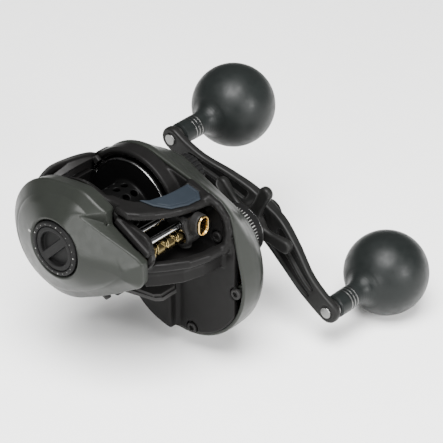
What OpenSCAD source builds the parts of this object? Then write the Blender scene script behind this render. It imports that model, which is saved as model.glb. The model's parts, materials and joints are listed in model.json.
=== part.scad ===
// Low-profile baitcasting reel, left-hand crank.
// X runs from the palm side plate to the handle, +Y is the angler's side, -Y is the
// side the line leaves from, +Z is up. The origin is the middle of the foot's underside.

/* [Spool] */
// Height of the spool axis over the foot's underside
spool_z = 25; // [24:0.5:27]
// Radius of the spool flanges
flange_r = 18.7; // [17.5:0.1:18.8]
// Outer face of the palm-side flange
spool_x0 = -15.5; // [-15.8:0.1:-15]
// Outer face of the gear-side flange
spool_x1 = 8.5; // [8:0.1:8.7]
// Radius of the spool's arbor
arbor_r = 10; // [8:0.5:12]

/* [Crank] */
// Crank shaft position behind (+) or in front (-) of the spool axis
crank_y = -21.1; // [-21.3:0.1:-21]
// Height of the crank shaft over the foot's underside
crank_z = 6.3; // [6.2:0.1:6.5]
// Distance from the crank shaft to each knob
arm_len = 44.6; // [40:0.2:50]
// Angle of the handle arm above the horizontal, rear end up
arm_angle = 30.2; // [28:0.2:32]
// Radius of the round knobs
knob_r = 16.4; // [14:0.2:17]
// Radius of the star drag's lobes
star_r = 20.7; // [18:0.1:21]

/* [Gears] */
// Teeth on the drive gear
drive_teeth = 70; // [70:1:70]
// Teeth on the pinion
pinion_teeth = 13; // [13:1:13]
// Teeth on the level-wind cog of the crank shaft
cog_teeth = 20; // [20:1:20]
// Teeth on the idler gear
idler_teeth = 21; // [21:1:21]
// Teeth on the worm gear
worm_teeth = 15; // [15:1:15]
// Module of the level-wind gears
wind_module = 0.6; // [0.6:0.01:0.6]

/* [Level wind] */
// Position of the worm shaft, y
worm_y = -29.5; // [-29.7:0.1:-29.3]
// Position of the worm shaft, z
worm_z = 26.9; // [26.7:0.1:27.1]
// Middle of the line guide at rest
guide_x = 4.5; // [2:0.5:4.5]

/* [Casing] */
// Outer face of the palm plate's boss
palm_x = -30.5; // [-31:0.1:-30]
// Outer face of the frame's gear-side wall
wall_x = 13.5; // [13.5:0.1:13.5]
// Seam between the frame and the gear cover
seam_x = 16; // [16:0.1:16]
// Outer radius of the casing round the crank shaft
case_r = 29; // [28.5:0.1:29.5]
// Width of the foot
foot_w = 17; // [16:0.1:17.4]
// Length of the foot
foot_len = 51.2; // [50:0.2:56]
// Thickness of the foot
foot_t = 2.7; // [2.4:0.1:3]

/* [Hidden] */
$fn = 64;
crank_gap = norm([crank_y, spool_z - crank_z]);
drive_module = 2 * crank_gap / (drive_teeth + pinion_teeth);
// angle of the line from the crank shaft to the spool axis, from +Y towards +Z
mesh_angle = atan2(spool_z - crank_z, -crank_y);
cog_r = wind_module * cog_teeth / 2;
idler_r = wind_module * idler_teeth / 2;
worm_r = wind_module * worm_teeth / 2;
worm_gap = norm([worm_y - crank_y, worm_z - crank_z]);
worm_dir = atan2(worm_z - crank_z, worm_y - crank_y);
cog_idler = cog_r + idler_r;
idler_worm = idler_r + worm_r;
// the idler sits in front of the line from the crank to the worm
idler_bend = acos((cog_idler * cog_idler + worm_gap * worm_gap - idler_worm * idler_worm)
  / (2 * cog_idler * worm_gap));
idler_dir = worm_dir + idler_bend;
idler_y = crank_y + cog_idler * cos(idler_dir);
idler_z = crank_z + cog_idler * sin(idler_dir);
idler_to_worm = atan2(worm_z - idler_z, worm_y - idler_y);
rod_a = [-24.5, 33.6];
rod_b = [-29.6, 31.7];
nose_r = 11.3;
nose = [-32.5, 28.5];
case_c = [-19.9, 4.8];
ring_r = 22.3;
ring_bore = 19.35;
ring_x0 = -17;
gear_x0 = 19.8;
gear_x1 = 24;
wind_x0 = 17.2;
wind_x1 = 19;
arm_x = 48.1;
arm_t = 3.4;
arm_hub_x = 55.2;
arm_hub_t = 4.4;
arm_end_r = 4.7;
knob_x = 84.6;
neck_r = 4.4;
shaft_r = 3;
stub_r = 2.2;
spool_shaft_r = 1.5;
pin_fit = 0.05;
ring_x1 = -13.6;
gear_ring_x = 8;
spool_pin_x = 15.2;
post_gap = 8.5;
yoke_x = 24.4;
guide_half = 3.4;
star_aim = 27;
column_x = 19.4;
thumb_travel = 4.5;
thumb_dir = [0.6, -0.8];
skirt_t = 1.3;
nose_x1 = -14.9;
latch_pivot = [-8.8, 6.6];
cover_screws_at = [[-45.3, 2.8], [-24, -21], [-36.4, 23.4], [17.4, 16]];
rivets_at = [[-5, -10], [5, -10], [0, 9]];

// ---- helpers -------------------------------------------------------------

// an outline drawn in (y, z), extruded along X from x0 to x1
module slab_x(x0, x1) {
  translate([x0, 0, 0])
    rotate([90, 0, 90])
      linear_extrude(x1 - x0)
        children();
}

// a round bar along X from x0 to x1 at (y, z)
module bar_x(x0, x1, r, y = 0, z = 0) {
  translate([x0, y, z])
    rotate([0, 90, 0])
      cylinder(h = x1 - x0, r = r);
}

// a tube along X from x0 to x1 at (y, z)
module tube_x(x0, x1, ro, ri, y = 0, z = 0) {
  difference() {
    bar_x(x0, x1, ro, y, z);
    bar_x(x0 - 1, x1 + 1, ri, y, z);
  }
}

// moves children onto the spool axis or the crank axis
module on_spool() {
  translate([0, 0, spool_z])
    children();
}
module on_crank() {
  translate([0, crank_y, crank_z])
    children();
}

// a straight-toothed gear outline: trapezoid teeth with backlash
module gear_outline(teeth, m, addendum = 0.9, dedendum = 1.15) {
  pitch_r = m * teeth / 2;
  step = 360 / teeth;
  // half widths of a tooth at the root, pitch circle and tip, in degrees
  root_w = step * 0.36;
  pitch_w = step * 0.225;
  tip_w = step * 0.10;
  pts = [for (i = [0:teeth - 1], k = [0:5])
    let (r = (k == 0 || k == 5) ? pitch_r - m * dedendum
        : (k == 1 || k == 4) ? pitch_r
        : pitch_r + m * addendum,
      w = (k == 0 || k == 5) ? root_w : (k == 1 || k == 4) ? pitch_w : tip_w,
      a = i * step + (k < 3 ? -w : w))
    [r * cos(a), r * sin(a)]];
  polygon(pts);
}

// a gear along X with one tooth centred on the direction `aim`
module gear_x(x0, x1, teeth, m, aim) {
  slab_x(x0, x1)
    rotate(aim)
      gear_outline(teeth, m);
}

// direction of a gap's middle seen from a gear whose tooth is centred on `aim`
function gap_of(teeth) = 180 / teeth;

// ---- outlines ------------------------------------------------------------

// direction, from the centres, of the point where the outer tangent of circles a and b touches
function tangent(a, b) =
  let (dy = b[0] - a[0], dz = b[1] - a[1])
  atan2(dz, dy) - acos((a[2] - b[2]) / norm([dy, dz]));

// outline that wraps circles [y, z, r], listed anticlockwise
function wrap(c, step = 6) = [for (i = [0:len(c) - 1])
  let (a0 = tangent(c[(i + len(c) - 1) % len(c)], c[i]),
    turn = (tangent(c[i], c[(i + 1) % len(c)]) - a0 + 720) % 360,
    n = max(1, ceil(turn / step)))
  for (k = [0:n])
    c[i][2] * [cos(a0 + turn * k / n), sin(a0 + turn * k / n)] + [c[i][0], c[i][1]]];

// gear side seen along X: spool lobe, level-wind nose and crank casing
module gear_side_outline(inset = 0) {
  polygon(wrap([[0, spool_z, ring_r - inset], [nose[0], nose[1], nose_r - inset],
    [case_c[0], case_c[1], case_r - inset]]));
}

// gear cover further out: a spool lobe and a casing lobe of given radii
module gear_end_outline(spool_lobe, case_lobe) {
  polygon(wrap([[0, spool_z, spool_lobe], [case_c[0], case_c[1], case_lobe]]));
}

// palm side seen along X
module palm_outline(inset = 0) {
  polygon(wrap([[6, 22.5, 23.4 - inset], [-4, 35, 12 - inset], [-14, 37.2, 5.5 - inset],
    [-26.8, 22.5, 5.5 - inset]]));
}

// ---- frame ---------------------------------------------------------------

module frame() {
  color([0.14, 0.14, 0.14]) difference() {
    union() {
      // palm-side ring with the nose that carries the rods and the worm
      slab_x(ring_x0, ring_x1) {
        translate([0, spool_z])
          circle(r = 21.8);
        thumb_ear();
      }
      slab_x(ring_x0, nose_x1)
        polygon(wrap([[-14, 33, 6], [-27.4, 30.4, 5], [-28.2, 26.6, 5], [-14, 20, 9]]));
      // gear-side wall and the ring round the gear-side flange
      slab_x(wall_x, seam_x)
        gear_side_outline(skirt_t);
      slab_x(gear_ring_x, wall_x) {
        translate([0, spool_z])
          circle(r = ring_r);
        thumb_ear();
      }
      hood();
      front_lip();
      rear_bridge();
      stem();
      gear_fairing();
      // boss for the inner crank bearing
      on_crank()
        bar_x(seam_x - 0.5, 16.8, 6);
      // pivot of the palm latch
      bar_x(-19.9, ring_x0 + 1, 1, latch_pivot[0], latch_pivot[1]);
    }
    // spool opening through the palm ring and the ring round the flange
    on_spool() {
      bar_x(ring_x0 - 1, ring_x1 + 1, ring_bore);
      bar_x(gear_ring_x - 1, wall_x, ring_bore);
    }
    // pinion hole in the wall
    on_spool()
      bar_x(wall_x - 1, seam_x + 1, 6.5);
    // crank bearing seat, closed towards the palm side
    on_crank()
      bar_x(14, 17, 4.5);
    // seats for the rods and the worm
    for (p = [rod_a, rod_b])
      bar_x(-16.6, seam_x - 1, 1.25, p[0], p[1]);
    bar_x(-16.8, seam_x + 1, 3.5, worm_y, worm_z);
    // idler pin seat
    bar_x(14.5, seam_x + 1, 1, idler_y, idler_z);
    // yoke post seats
    on_mesh_line()
      for (s = [-1, 1])
        bar_x(14.5, seam_x + 1, 1, s * post_gap, 0);
    // screw holes
    for (p = cover_screws_at) {
      bar_x(wall_x - 1, seam_x + 1, 1.15, p[0], p[1]);
      bar_x(wall_x - 1, wall_x + 0.5, 2.2, p[0], p[1]);
    }
    // space that the thumb bar's tabs and the clutch link sweep
    slab_x(-16.6, ring_x1 + 1)
      swept()
        thumb_tab(0.3);
    slab_x(gear_ring_x - 1, wall_x - 0.1)
      swept()
        thumb_tab(0.3);
    // seat of the return spring
    slab_x(gear_ring_x - 1, wall_x - 0.1)
      for (t = [1, 2])
        translate(thumb_dir * (thumb_travel + t))
          thumb_tab(0.3);
    slab_x(8.9, 10.7)
      swept()
        link_arm(0.3);
    slab_x(wall_x - 1, seam_x + 1)
      swept()
        link_pin(0.3);
    // rivet holes
    for (p = rivets_at)
      translate([p[0], p[1], 2])
        cylinder(h = 6, r = 1);
  }
}

// ears on both rings that guide the thumb bar's tabs
module thumb_ear() {
  translate([0, spool_z])
    polygon(wrap([[21.4, 6.6, 2.2], [16.3, 13.6, 2.2], [10, 12, 4]]));
}

// hood over the level wind: a bridge between the two sides
module hood() {
  intersection() {
    slab_x(ring_x0, wall_x + 0.5)
      polygon([[-11, 43.6], [-18, 42.9], [-24, 42.1], [-30, 41], [-35.2, 39.4], [-34.8, 37.9],
        [-30, 38.6], [-24, 39.5], [-18, 40.3], [-11, 41.2]]);
    linear_extrude(50)
      polygon([[-17, -23.6], [-15.5, -24.6], [-10.5, -28.6], [-5.8, -31.2], [-0.9, -32.9],
        [4, -34.1], [9, -34.8], [14, -35], [14, -22], [10.4, -23.6], [0, -23.2],
        [-7, -21.6], [-10.6, -19], [-12.4, -15.7], [-13.2, -11.4], [-17, -11.4]]);
  }
}

// front lip under the level-wind window, bowed forward towards the gear side
module front_lip() {
  translate([0, 0, 19.6])
    linear_extrude(3.2)
      polygon([[-17, -28], [-15, -31.2], [-11, -34.6], [-4, -39.4], [4, -41.8], [14, -42.6],
        [14, -38], [4, -37.6], [-3, -35.4], [-10, -31], [-13.5, -27.5]]);
  // skirt below the lip
  translate([0, 0, 12.8])
    linear_extrude(7)
      polygon([[-15, -28], [-11.4, -31.2], [-4, -36.2], [4, -38.6], [14, -39.6],
        [14, -37.8], [4, -36.8], [-3.4, -34.4], [-10.4, -29.8], [-13.4, -27]]);
  // floor of the level-wind trough and its back wall
  translate([0, 0, 17.6])
    linear_extrude(1.8)
      polygon([[-15, -28], [-11.4, -31.2], [-4, -36.2], [4, -38.6], [14, -39.6],
        [14, -20.8], [-15, -20.8]]);
  translate([-15, -22.6, 10.4])
    cube([29, 2, 8]);
}

// plate behind and under the spool
module rear_bridge() {
  slab_x(-15, wall_x + 0.5)
    intersection() {
      difference() {
        translate([0, spool_z])
          circle(r = 21.8);
        translate([0, spool_z])
          circle(r = 19.6);
      }
      translate([2, 2])
        square([30, 17]);
    }
}

// flat under the spool that the foot is riveted to
module stem() {
  slab_x(-15, wall_x + 0.5)
    polygon([[-14, foot_t], [15, foot_t], [15, 8.3], [12, 8.1], [6, 5.6], [0, 5],
      [-6, 5.6], [-12, 8], [-17, 12.4], [-22.6, 12.4], [-22.6, 10.4], [-17, 9.6]]);
}

// thickening of the wall where it runs down beside the foot
module gear_fairing() {
  slab_x(9, wall_x + 0.5)
    intersection() {
      gear_side_outline();
      translate([-17, -22])
        square([20, 27]);
    }
}

module reel_foot() {
  color([0.16, 0.16, 0.16]) difference() {
    union() {
      linear_extrude(1.5)
        foot_outline(0);
      linear_extrude(foot_t)
        foot_outline(0.8);
    }
    for (p = rivets_at)
      translate([p[0], p[1], -1])
        cylinder(h = 6, r = 1);
  }
}

// plan of the foot: widest in the middle, narrower at both ends
module foot_outline(inset) {
  w = foot_w / 2 - inset;
  l = foot_len / 2 - inset;
  polygon([[-3.6, -l], [3.6, -l], [5.6, 2 - l], [w, -10], [w, 10], [5.6, l - 2],
    [3.6, l], [-3.6, l], [-5.6, l - 2], [-w, 10], [-w, -10], [-5.6, 2 - l]]);
}

module foot_rivets() {
  color([0.45, 0.45, 0.45])
    for (p = rivets_at)
      translate([p[0], p[1], 0.1])
        cylinder(h = 3.6, r = 1);
}

module hood_insert() {
  color([0.29, 0.32, 0.36])
    intersection() {
      slab_x(-10, 11)
        polygon([[-18, 43], [-24, 42.2], [-30, 41.1], [-34, 39.9], [-34, 40.7],
          [-30, 41.8], [-24, 42.9], [-18, 43.6]]);
      linear_extrude(50)
        polygon([[-9, -20.4], [-7.5, -25.6], [-3.6, -30.4], [2.6, -32.8], [8, -33.4],
          [10.6, -30], [10.4, -24.3], [0, -23.8], [-6.6, -22.3]]);
    }
}

// ---- palm side -----------------------------------------------------------

module palm_plate() {
  color([0.42, 0.43, 0.41]) {
    difference() {
      union() {
        slab_x(-23, ring_x0 - 0.1)
          palm_outline();
        // domed outer face
        hull() {
          slab_x(-23.1, -23)
            palm_outline(0.3);
          on_spool()
            bar_x(palm_x, palm_x + 0.5, 13.6);
        }
      }
      // hollow behind the face
      slab_x(-22, ring_x0 + 1)
        palm_outline(1.8);
      on_spool()
        bar_x(-26.6, -21, 15.5);
      // dial seat and the hole for its stem
      on_spool()
        bar_x(palm_x - 1, -28.3, 10.9);
      on_spool()
        bar_x(-29, -26, 6);
      // notch for the latch
      translate([-20.2, -17.5, -1])
        cube([4, 12, 9]);
    }
    // bearing carrier: a hub on three spokes that stand in the hollow
    on_spool()
      tube_x(-24.4, -20.8, 6.6, 5);
    on_spool()
      for (k = [0:2])
        rotate([120 * k + 30, 0, 0])
          translate([-24.4, 6.2, -1])
            cube([1.4, 9.6, 2]);
  }
}

module bearing(x0, x1, ro, ri) {
  mid = (ro + ri) / 2;
  tube_x(x0, x1, ro, mid + 0.6);
  tube_x(x0, x1, mid - 0.6, ri);
  tube_x(x0 + 0.3, x1 - 0.3, mid + 0.6, mid - 0.6);
}

module palm_spool_bearing() {
  color("silver")
    on_spool()
      bearing(-24.2, -21.2, 5, spool_shaft_r + pin_fit);
}

module palm_latch() {
  color([0.1, 0.1, 0.1]) difference() {
    slab_x(-19.7, -17.3)
      polygon(wrap([[latch_pivot[0], latch_pivot[1], 1.9], [-13.2, 2.9, 0.9]]));
    bar_x(-20, -17, 1.05, latch_pivot[0], latch_pivot[1]);
  }
}

module brake_dial_ring() {
  color([0.12, 0.12, 0.12]) {
    on_spool()
      tube_x(-32.5, -28.4, 10.6, 8.7);
    on_spool()
      tube_x(-29.2, -28.4, 8.7, 5.6);
    on_spool()
      tube_x(-29.2, -26.6, 5.7, 4.2);
  }
}

module brake_dial_cap() {
  color([0.15, 0.15, 0.15]) difference() {
    on_spool()
      bar_x(-32.2, -29.3, 8.65);
    // finger pockets either side of the slanted grip bar
    on_spool()
      for (s = [-1, 1])
        rotate([45, 0, 0])
          intersection() {
            bar_x(-33, -30.2, 6.6);
            translate([-33, s > 0 ? 1.7 : -8.7, -8])
              cube([3, 7, 16]);
          }
  }
}

module brake_magnets() {
  color([0.55, 0.55, 0.57])
    on_spool() {
      tube_x(-26.6, -25.6, 14, 4.3);
      for (k = [0:5])
        rotate([60 * k, 0, 0])
          bar_x(-25.6, -24.8, 2, 11, 0);
    }
}

// ---- spool ---------------------------------------------------------------

module spool() {
  color([0.1, 0.1, 0.1])
    on_spool()
      difference() {
        union() {
          bar_x(spool_x0, spool_x0 + 1.5, flange_r);
          bar_x(spool_x1 - 1.5, spool_x1, flange_r);
          bar_x(spool_x0, spool_x1, arbor_r);
          bar_x(spool_x1, 12.5, 3.4);
        }
        // hollow arbor with a web round the shaft
        bar_x(spool_x0 - 1, -4.5, arbor_r - 1.2);
        bar_x(-3, spool_x1 + 0.1, arbor_r - 1.2);
        bar_x(spool_x0 - 1, 13, spool_shaft_r);
        // line holes through the arbor
        for (k = [0:7], x = [-9, 2])
          rotate([45 * k, 0, 0])
            translate([x, 0, arbor_r - 3])
              cylinder(h = 5, r = 1.6);
      }
  color([0.1, 0.1, 0.1])
    on_spool()
      tube_x(-8, 12.5, 3.2, spool_shaft_r);
}

module spool_shaft() {
  color("silver")
    on_spool()
      difference() {
        bar_x(-24.2, 39, spool_shaft_r);
        translate([spool_pin_x, 0, -5])
          cylinder(h = 10, r = 0.7);
      }
}

module spool_pin() {
  color("silver")
    on_spool()
      translate([spool_pin_x, 0, -3])
        cylinder(h = 6, r = 0.7);
}

module brake_drum() {
  color([0.75, 0.75, 0.77])
    on_spool() {
      tube_x(-20.3, -15.6, 13, 12.2);
      tube_x(-16.6, -15.6, 12.3, spool_shaft_r + pin_fit);
    }
}

module gear_side_spool_bearing() {
  color("silver")
    on_spool()
      bearing(30.4, 33.4, 5, spool_shaft_r + pin_fit);
}

module cast_control_cap() {
  color([0.13, 0.13, 0.13])
    on_spool()
      difference() {
        bar_x(35.9, 40.5, 7.5);
        bar_x(35.8, 39.2, 6.3);
        for (k = [0:17])
          rotate([20 * k, 0, 0])
            bar_x(36.6, 40.6, 0.5, 7.7, 0);
      }
}

// ---- clutch --------------------------------------------------------------

// copies of an outline along the thumb bar's travel
module swept() {
  for (k = [0:3])
    translate(thumb_dir * thumb_travel * k / 3)
      children();
}

// section of the thumb bar, behind and above the spool
module thumb_section(r0, r1) {
  translate([0, spool_z])
    polygon([for (a = [20:3.25:46]) r1 * [cos(a), sin(a)],
      for (a = [46:-3.25:20]) r0 * [cos(a), sin(a)]]);
}

// tab that runs in the ring's slot
module thumb_tab(grow = 0) {
  translate([17, spool_z + 12.6])
    rotate(atan2(thumb_dir[1], thumb_dir[0]))
      square([3 + 2 * grow, 2.4 + 2 * grow], center = true);
}

// arm of the clutch link, from the tab in to the pin
module link_arm(grow = 0) {
  translate([0, spool_z])
    polygon(wrap([[17, 12.6, 0.9 + grow], [11.5, 9.5, 1.1 + grow]]));
}

// pin of the clutch link
module link_pin(grow = 0) {
  translate([11.5, spool_z + 9.5])
    circle(r = 1.2 + grow);
}

module thumb_bar() {
  color([0.16, 0.16, 0.16]) {
    slab_x(ring_x1 + 0.3, gear_ring_x - 0.3)
      thumb_section(21.6, 24.6);
    slab_x(-16.8, 12.9)
      thumb_section(24.4, 25.8);
    slab_x(-16.4, ring_x1 + 1)
      thumb_tab();
    slab_x(gear_ring_x - 1, 9.2)
      thumb_tab();
  }
}

module clutch_link() {
  color([0.6, 0.6, 0.62]) {
    slab_x(9.2, 10.4)
      link_arm();
    // foot on the return spring
    slab_x(9.2, 11.6)
      thumb_tab();
    slab_x(10.3, 18.2)
      link_pin();
  }
}

module thumb_bar_spring() {
  color("silver")
    for (k = [0:4])
      translate([10, 17 + thumb_dir[0] * (1.9 + 1.4 * k), spool_z + 12.6
        + thumb_dir[1] * (1.9 + 1.4 * k)])
        rotate([90 + atan2(thumb_dir[1], thumb_dir[0]), 0, 0])
          rotate_extrude()
            translate([1.1, 0])
              circle(r = 0.25, $fn = 16);
}

module clutch_cam() {
  color([0.65, 0.65, 0.67])
    on_spool() {
      tube_x(16.5, 17.4, 7.2, 5.6);
      // arm that the link pin pushes
      slab_x(16.5, 17.4)
        polygon(wrap([[6.4, 1.6, 1], [13.2, 6.2, 1]]));
      // ramps that lift the yoke
      rotate([mesh_angle + 90, 0, 0])
        for (s = [-1, 1])
          translate([17.3, s * 6.5 - 0.6, -1.2])
            cube([0.7, 1.2, 2.4]);
    }
}

module kick_lever() {
  color([0.6, 0.6, 0.62])
    slab_x(18.2, 18.9)
      difference() {
        polygon(wrap([[-4, 13.4, 1.6], [-10.2, 11.4, 0.8]]));
        translate([-4, 13.4])
          circle(r = 0.8);
      }
}

// turned so that +Y lies square to the line between crank and spool
module on_mesh_line() {
  on_spool()
    rotate([mesh_angle + 90, 0, 0])
      children();
}

module clutch_yoke() {
  color([0.15, 0.15, 0.15])
    on_mesh_line()
      difference() {
        union() {
          slab_x(yoke_x, yoke_x + 1.4) {
            circle(r = 5.6);
            polygon(wrap([[post_gap, 0, 2.2], [-post_gap, 0, 2.2]]));
          }
          // legs that stand over the cam
          for (s = [-1, 1])
            bar_x(18.1, yoke_x + 0.5, 1.8, s * post_gap, 0);
        }
        bar_x(yoke_x - 1, yoke_x + 2, 3.75);
        for (s = [-1, 1])
          bar_x(18, yoke_x + 2, 1.06, s * post_gap, 0);
        // open side that slips over the pinion
        translate([yoke_x - 1, -3.75, 0])
          cube([3, 7.5, 8]);
      }
}

module yoke_posts() {
  color("silver")
    on_mesh_line()
      for (s = [-1, 1])
        bar_x(14.6, 29.8, 1, s * post_gap, 0);
}

module yoke_springs() {
  color("silver")
    on_mesh_line()
      for (s = [-1, 1], k = [0:2])
        translate([yoke_x + 1.7 + 1.2 * k, s * post_gap, 0])
          rotate([0, 90, 0])
            rotate_extrude()
              translate([1.4, 0])
                circle(r = 0.25, $fn = 16);
}

// ---- drive train ---------------------------------------------------------

module pinion() {
  color([0.8, 0.62, 0.3])
    on_spool()
      difference() {
        union() {
          bar_x(13.8, 17.1, 4.3);
          gear_x(17.8, yoke_x - 0.1, pinion_teeth, drive_module, mesh_angle + 180);
          bar_x(17, 27, 3.3);
          bar_x(yoke_x + 1.5, 27, 4.3);
        }
        bar_x(13, 32, spool_shaft_r + pin_fit);
        // slot for the spool pin
        translate([13.5, -0.8, -3.3])
          cube([2.8, 1.6, 6.6]);
      }
}

module drive_shaft() {
  color([0.75, 0.75, 0.77])
    on_crank()
      difference() {
        union() {
          bar_x(14.2, 17.1, 1.95);
          bar_x(17.1, arm_hub_x + arm_hub_t, shaft_r);
          bar_x(arm_hub_x, 61.7, stub_r);
        }
        // flats for the handle
        for (s = [-1, 1])
          translate([arm_hub_x - 3, s * 4 - 1.6, -4])
            cube([arm_hub_t + 3, 3.2, 8]);
        bar_x(57.4, 62, 1.08);
      }
}

module drive_gear() {
  color([0.8, 0.62, 0.3])
    on_crank()
      difference() {
        gear_x(gear_x0, gear_x1, drive_teeth, drive_module, mesh_angle + gap_of(drive_teeth));
        bar_x(gear_x0 - 1, gear_x1 + 1, shaft_r + pin_fit);
        bar_x(gear_x0 + 1.4, gear_x1 + 1, 17.4);
        for (k = [0:5])
          rotate([60 * k, 0, 0])
            bar_x(gear_x0 - 1, gear_x0 + 2, 2.4, 10.5, 0);
      }
}

module drag_stack(first) {
  on_crank()
    for (k = [first:2:6])
      tube_x(gear_x0 + 1.4 + 0.7 * k, gear_x0 + 2.1 + 0.7 * k, 17.1,
        shaft_r + (first == 0 ? 0.3 : 0));
}

module drag_washers() {
  color([0.08, 0.08, 0.08])
    drag_stack(0);
}

module drag_plates() {
  color([0.7, 0.7, 0.72])
    drag_stack(1);
}

module ratchet_wheel() {
  teeth = 18;
  color([0.7, 0.7, 0.72])
    on_crank()
      difference() {
        slab_x(19.1, 19.7)
          polygon([for (i = [0:teeth - 1], k = [0, 1])
            let (a = (i + 0.8 * k) * 360 / teeth, r = k == 0 ? 7.2 : 8.6)
            [r * cos(a), r * sin(a)]]);
        bar_x(19, 20, shaft_r);
      }
}

module level_wind_cog() {
  color([0.2, 0.2, 0.22])
    on_crank()
      difference() {
        gear_x(wind_x0, wind_x1, cog_teeth, wind_module, idler_dir);
        bar_x(wind_x0 - 1, wind_x1 + 1, shaft_r);
      }
}

module idler_gear() {
  color([0.85, 0.85, 0.82])
    translate([0, idler_y, idler_z])
      difference() {
        gear_x(wind_x0, wind_x1, idler_teeth, wind_module,
          idler_dir + 180 + gap_of(idler_teeth));
        bar_x(wind_x0 - 1, wind_x1 + 1, 1 + pin_fit);
      }
}

module idler_pin() {
  color("silver")
    bar_x(14.6, 19.5, 1, idler_y, idler_z);
}

// the worm gear's tooth aims where the idler, turned as above, has a gap
module worm_gear() {
  idler_aim = idler_dir + 180 + gap_of(idler_teeth);
  // phase of the idler on the line to the worm, in idler tooth steps
  idler_phase = (idler_to_worm - idler_aim) * idler_teeth / 360;
  worm_aim = idler_to_worm + 180 + (0.5 + idler_phase) * 360 / worm_teeth;
  color([0.85, 0.85, 0.82])
    translate([0, worm_y, worm_z])
      difference() {
        gear_x(wind_x0, wind_x1, worm_teeth, wind_module, worm_aim);
        bar_x(wind_x0 - 1, wind_x1 + 1, 1.6);
      }
}

module worm_shaft() {
  color([0.85, 0.65, 0.28])
    translate([0, worm_y, worm_z]) {
      bar_x(-16.6, 19.6, 1.6);
      bar_x(-14.7, 13.3, 2.3);
      bar_x(-14.7, -13.9, 2.9);
      bar_x(12.5, 13.3, 2.9);
    }
}

module worm_bushes() {
  color([0.85, 0.85, 0.82])
    translate([0, worm_y, worm_z]) {
      tube_x(-16.7, -14.9, 3.5, 1.65);
      tube_x(13.5, 16.2, 3.5, 1.65);
    }
}

module guide_rods() {
  color("silver")
    for (p = [rod_a, rod_b])
      bar_x(-16.5, 14.9, 1.25, p[0], p[1]);
}

// ---- line guide ----------------------------------------------------------

module line_guide() {
  x0 = guide_x - guide_half;
  x1 = guide_x + guide_half;
  color([0.1, 0.1, 0.1]) difference() {
    union() {
      slab_x(x0, x1) {
        polygon(wrap([[rod_a[0], rod_a[1], 2.3], [rod_b[0], rod_b[1], 2.3],
          [worm_y, worm_z, 4.2]]));
      }
      // neck and ring that hold the eyelet
      translate([guide_x - 2.6, -36, 29])
        cube([5.2, 6, 6]);
      eyelet_bar(3.2, 4.2, -37.4, 3.4);
      // boss for the pawl
      translate([guide_x, worm_y, worm_z - 4.6])
        cylinder(h = 1.2, r = 2.2);
    }
    for (p = [rod_a, rod_b])
      bar_x(x0 - 1, x1 + 1, 1.32, p[0], p[1]);
    bar_x(x0 - 1, x1 + 1, 3.1, worm_y, worm_z);
    // pawl seat below the worm
    translate([guide_x, worm_y, worm_z - 6])
      cylinder(h = 6, r = 1.5);
    eyelet_bar(2.3, 3.5, -45, 12.5);
  }
}

// an oval bar along Y from y0, centred on the eyelet
module eyelet_bar(rx, rz, y0, len) {
  translate([guide_x, y0 + len, 33])
    rotate([90, 0, 0])
      linear_extrude(len)
        polygon(wrap([[0, rz - rx, rx], [0, rx - rz, rx]]));
}

module line_eyelet() {
  color([0.9, 0.7, 0.3]) difference() {
    union() {
      eyelet_bar(2.3, 3.5, -38.4, 5);
      eyelet_bar(2.7, 3.9, -38.4, 1);
    }
    eyelet_bar(1.5, 2.7, -45, 20);
  }
}

module guide_pawl() {
  color([0.8, 0.62, 0.3])
    translate([guide_x, worm_y, worm_z - 4.6])
      cylinder(h = 2.2, r = 1.45);
}

module pawl_cap() {
  color([0.2, 0.2, 0.2])
    translate([guide_x, worm_y, worm_z - 5.4])
      cylinder(h = 0.8, r = 2.2);
}

// ---- gear cover ----------------------------------------------------------

module gear_cover() {
  color([0.42, 0.43, 0.41]) difference() {
    union() {
      hull() {
        slab_x(seam_x + 0.1, seam_x + 0.6)
          gear_side_outline();
        slab_x(24.4, 24.6)
          gear_end_outline(16.4, case_r);
      }
      hull() {
        slab_x(24.4, 24.6)
          gear_end_outline(16.4, case_r);
        slab_x(29.4, 29.6)
          gear_end_outline(13, case_r - 4.2);
        slab_x(35.4, 35.6)
          gear_end_outline(8.8, 17);
      }
      // skirt round the frame's wall
      slab_x(wall_x + 0.6, seam_x + 0.2)
        gear_side_outline();
      // bosses for the collar and the cast control cap
      on_crank()
        bar_x(35, 45, 8);
      on_spool()
        bar_x(35, 38.4, 6.2);
    }
    slab_x(wall_x, seam_x + 0.1)
      gear_side_outline(skirt_t - 0.03);
    // gearbox
    difference() {
      union() {
        hull() {
          slab_x(seam_x - 1, seam_x)
            gear_side_outline(2);
          slab_x(24.1, 24.3)
            gear_end_outline(14.4, case_r - 2);
        }
        slab_x(24, 29.9)
          gear_end_outline(11, 20.4);
        slab_x(29.8, 31)
          gear_end_outline(7, 17);
      }
      on_spool()
        bar_x(29.6, 40, 6.6);
      on_crank()
        bar_x(28.1, 40, 9.2);
      // screw columns, the third on a rib from the side
      for (p = cover_screws_at)
        bar_x(seam_x, column_x, 2.2, p[0], p[1]);
      slab_x(seam_x, column_x)
        polygon(wrap([[cover_screws_at[2][0], cover_screws_at[2][1], 2.2],
          [cover_screws_at[2][0] - 4.3, cover_screws_at[2][1] + 4.3, 2.2]]));
    }
    on_crank() {
      bar_x(27, 35.9, 7.5);
      bar_x(35, 46, 5.6);
      bar_x(41.6, 46, 6.5);
    }
    on_spool() {
      bar_x(29, 33.5, 5.05);
      bar_x(30, 39.5, 2.2);
    }
    for (p = cover_screws_at)
      bar_x(seam_x - 1, column_x - 0.1, 1.15, p[0], p[1]);
  }
}

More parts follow.
